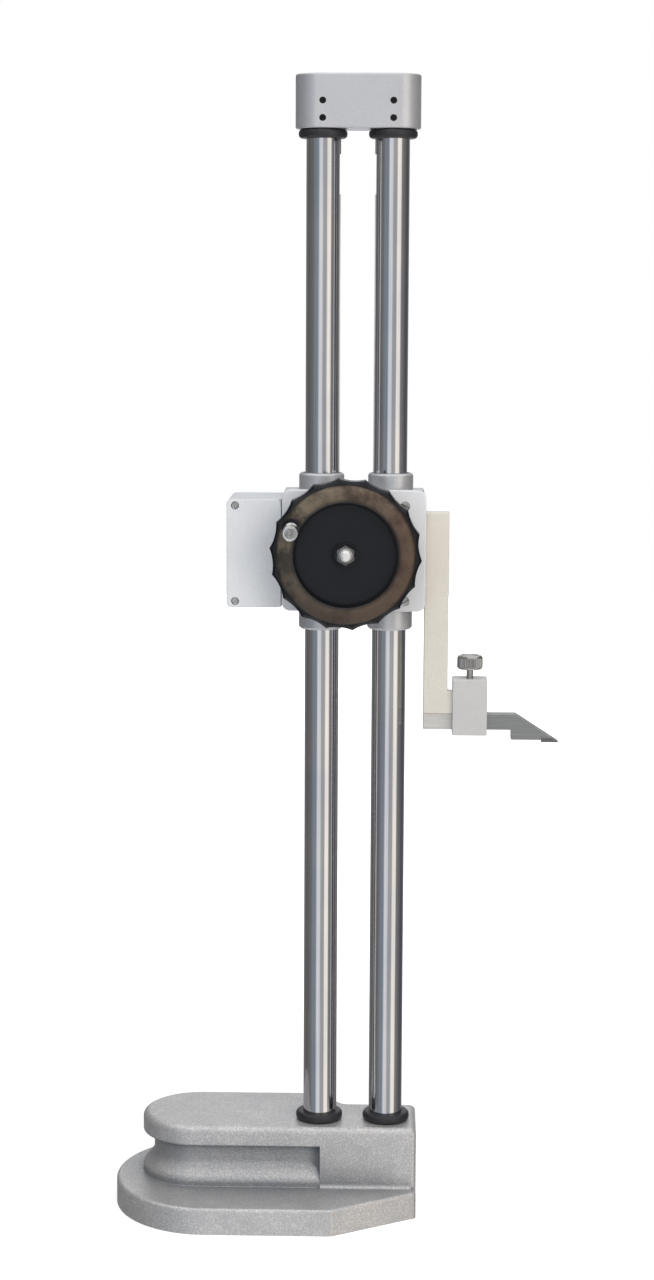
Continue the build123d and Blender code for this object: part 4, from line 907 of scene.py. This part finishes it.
# lengths are in metres; tones are at degrees from the handwheel side, positive towards the scriber side
studio = {
    "floorRadius": 3.2, "floorColour": (0.80, 0.80, 0.80),
    "floorWhite": 0.5, "whiteFrom": 0.2, "whiteFull": 0.75,
    "wallRadius": 2.6, "wallLow": -2.6, "wallHigh": 2.9, "wallStrength": 1.0, "roomStrength": 0.46,
    "roomColour": (0.95, 0.97, 1.0),
    "tones": [
        (-180, (0.80, 0.81, 0.83)), (-169, (0.80, 0.80, 0.81)), (-165, (0.36, 0.36, 0.37)),
        (-150, (0.20, 0.195, 0.20)), (-108, (0.125, 0.12, 0.12)), (-63, (0.19, 0.185, 0.185)),
        (-57, (0.22, 0.256, 0.30)), (-30, (0.25, 0.285, 0.33)), (-25, (0.45, 0.47, 0.50)),
        (-21, (0.80, 0.81, 0.84)), (-1, (0.80, 0.81, 0.84)), (5, (0.42, 0.43, 0.44)),
        (29, (0.42, 0.42, 0.42)), (34, (1.08, 1.01, 0.93)), (57, (1.10, 1.03, 0.95)), (65, (0.26, 0.25, 0.245)),
        (84, (0.19, 0.185, 0.185)), (108, (0.10, 0.10, 0.11)), (128, (0.09, 0.09, 0.10)),
        (152, (0.24, 0.24, 0.25)), (164, (0.45, 0.47, 0.50)), (168, (0.80, 0.81, 0.83)),
        (180, (0.80, 0.81, 0.83)),
    ],
}


def makeFloor():
    # a flat disc: rings of points at growing radius, closed by a fan to the middle
    turns, rings = 96, 12
    angle = np.linspace(0, 2 * np.pi, turns, endpoint=False)
    radius = studio["floorRadius"] * np.linspace(0, 1, rings + 1)[1:]
    x, y = np.outer(radius, np.cos(angle)), np.outer(radius, np.sin(angle))
    disc = np.stack([x, y, np.zeros((rings, turns))], -1)
    points = np.concatenate([disc.reshape(-1, 3), [[0, 0, 0]]])
    ring = np.arange(turns)
    fan = np.stack([np.full(turns, rings * turns), ring, (ring + 1) % turns], -1).tolist()
    quads = gridQuads(rings, turns, closeColumns=True)[:, ::-1].tolist()
    floor = addMesh("floor", points, quads + fan)
    material, tree, shader = newMaterial("pale floor")
    setInputs(tree, shader, Base_Color=studio["floorColour"], Roughness=0.9)
    # the camera sees the floor lit plus a white glow that grows with distance, which keeps a soft shadow
    away = vectorMath(tree, "LENGTH", objectPoints(tree))
    strength = mapRange(tree, away, studio["whiteFrom"], studio["whiteFull"], studio["floorWhite"], 1.0)
    white = addNode(tree, "ShaderNodeEmission", [("Color", (1, 1, 1)), ("Strength", strength)]).outputs[0]
    both = addNode(tree, "ShaderNodeAddShader", [(0, shader.outputs[0]), (1, white)]).outputs[0]
    seen = addNode(tree, "ShaderNodeLightPath").outputs["Is Camera Ray"]
    mix = addNode(tree, "ShaderNodeMixShader", [(0, seen), (1, shader.outputs[0]), (2, both)])
    output = next(node for node in tree.nodes if node.type == "OUTPUT_MATERIAL")
    tree.links.new(mix.outputs[0], output.inputs["Surface"])
    floor.data.materials.append(material)
    floor.visible_glossy = False


def makeStudioWall():
    # a tall ring round the object: angle goes round, height goes up; its tone follows the angle
    turns = 180
    angle = np.linspace(0, 2 * np.pi, turns, endpoint=False)
    height = np.linspace(studio["wallLow"], studio["wallHigh"], 3)
    a, h = np.meshgrid(angle, height, indexing="ij")
    x, y = studio["wallRadius"] * np.sin(a), -studio["wallRadius"] * np.cos(a)
    points = np.stack([x, y, h], -1).reshape(-1, 3)
    wall = addMesh("studioWall", points, gridQuads(turns, 3, closeRows=True).tolist(), 35)
    material = bpy.data.materials.new("studio wall")
    material.use_nodes = True
    tree = material.node_tree
    tree.nodes.clear()
    coords = addNode(tree, "ShaderNodeTexCoord").outputs["Object"]
    split = addNode(tree, "ShaderNodeSeparateXYZ", [(0, coords)])
    back = mathNode(tree, "MULTIPLY", split.outputs["Y"], -1.0)
    turn = mathNode(tree, "ARCTAN2", split.outputs["X"], back)
    factor = mapRange(tree, turn, -math.pi, math.pi, 0.0, 1.0)
    colour = colourRamp(tree, factor, [((degrees + 180) / 360, tone) for degrees, tone in studio["tones"]])
    glow = addNode(tree, "ShaderNodeEmission", [("Color", colour), ("Strength", studio["wallStrength"])])
    addNode(tree, "ShaderNodeOutputMaterial", [("Surface", glow.outputs[0])])
    wall.data.materials.append(material)
    wall.visible_camera = False
    wall.visible_shadow = False


def makeWorld():
    # plain white to the eye, in reflections and through glass; a dimmer, cooler light on everything else
    world = bpy.data.worlds.new("studioWorld")
    bpy.context.scene.world = world
    world.use_nodes = True
    tree = world.node_tree
    tree.nodes.clear()
    links = [("Color", studio["roomColour"]), ("Strength", studio["roomStrength"])]
    room = addNode(tree, "ShaderNodeBackground", links)
    white = addNode(tree, "ShaderNodeBackground", [("Color", (1, 1, 1)), ("Strength", 1.0)])
    path = addNode(tree, "ShaderNodeLightPath")
    first = mathNode(tree, "MAXIMUM", path.outputs["Is Camera Ray"], path.outputs["Is Glossy Ray"])
    seen = mathNode(tree, "MAXIMUM", first, path.outputs["Is Transmission Ray"])
    mix = addNode(tree, "ShaderNodeMixShader", [(0, seen), (1, room.outputs[0]), (2, white.outputs[0])])
    addNode(tree, "ShaderNodeOutputWorld", [("Surface", mix.outputs[0])])


# place and target in metres, size as width and height, power in watts
lamps = {
    "frontKey": {"place": (1.1, -1.9, 1.3), "target": (0, 0, 0.3), "size": (1.2, 1.6), "watts": 20,
                 "colour": (1.0, 0.955, 0.905)},
    "leftFill": {"place": (-1.3, -1.7, 0.9), "target": (0, 0, 0.3), "size": (1.2, 1.6), "watts": 6,
                 "colour": (0.93, 0.96, 1.0)},
    "topSoft": {"place": (-0.1, -0.9, 2.0), "target": (0, -0.05, 0.1), "size": (1.3, 1.3), "watts": 20,
                "colour": (1.0, 0.99, 0.98)},
    "rightGlow": {"place": (1.25, -1.0, 0.30), "target": (0.1, 0, 0.3), "size": (0.8, 1.4), "watts": 4,
                  "colour": (1.0, 0.82, 0.66)},
}


def makeLamp(name, style):
    data = bpy.data.lights.new(name, "AREA")
    data.shape = "RECTANGLE"
    data.size, data.size_y = style["size"]
    data.energy = style["watts"]
    data.color = style["colour"]
    lamp = addObject(name, data)
    lamp.location = style["place"]
    toward = Vector(style["target"]) - Vector(style["place"])
    lamp.rotation_euler = toward.to_track_quat("-Z", "Y").to_euler()
    lamp.visible_glossy = False


makeFloor()
makeStudioWall()
makeWorld()
for name, style in lamps.items():
    makeLamp(name, style)
bpy.context.scene.view_settings.view_transform = "Standard"
print("studio ready")
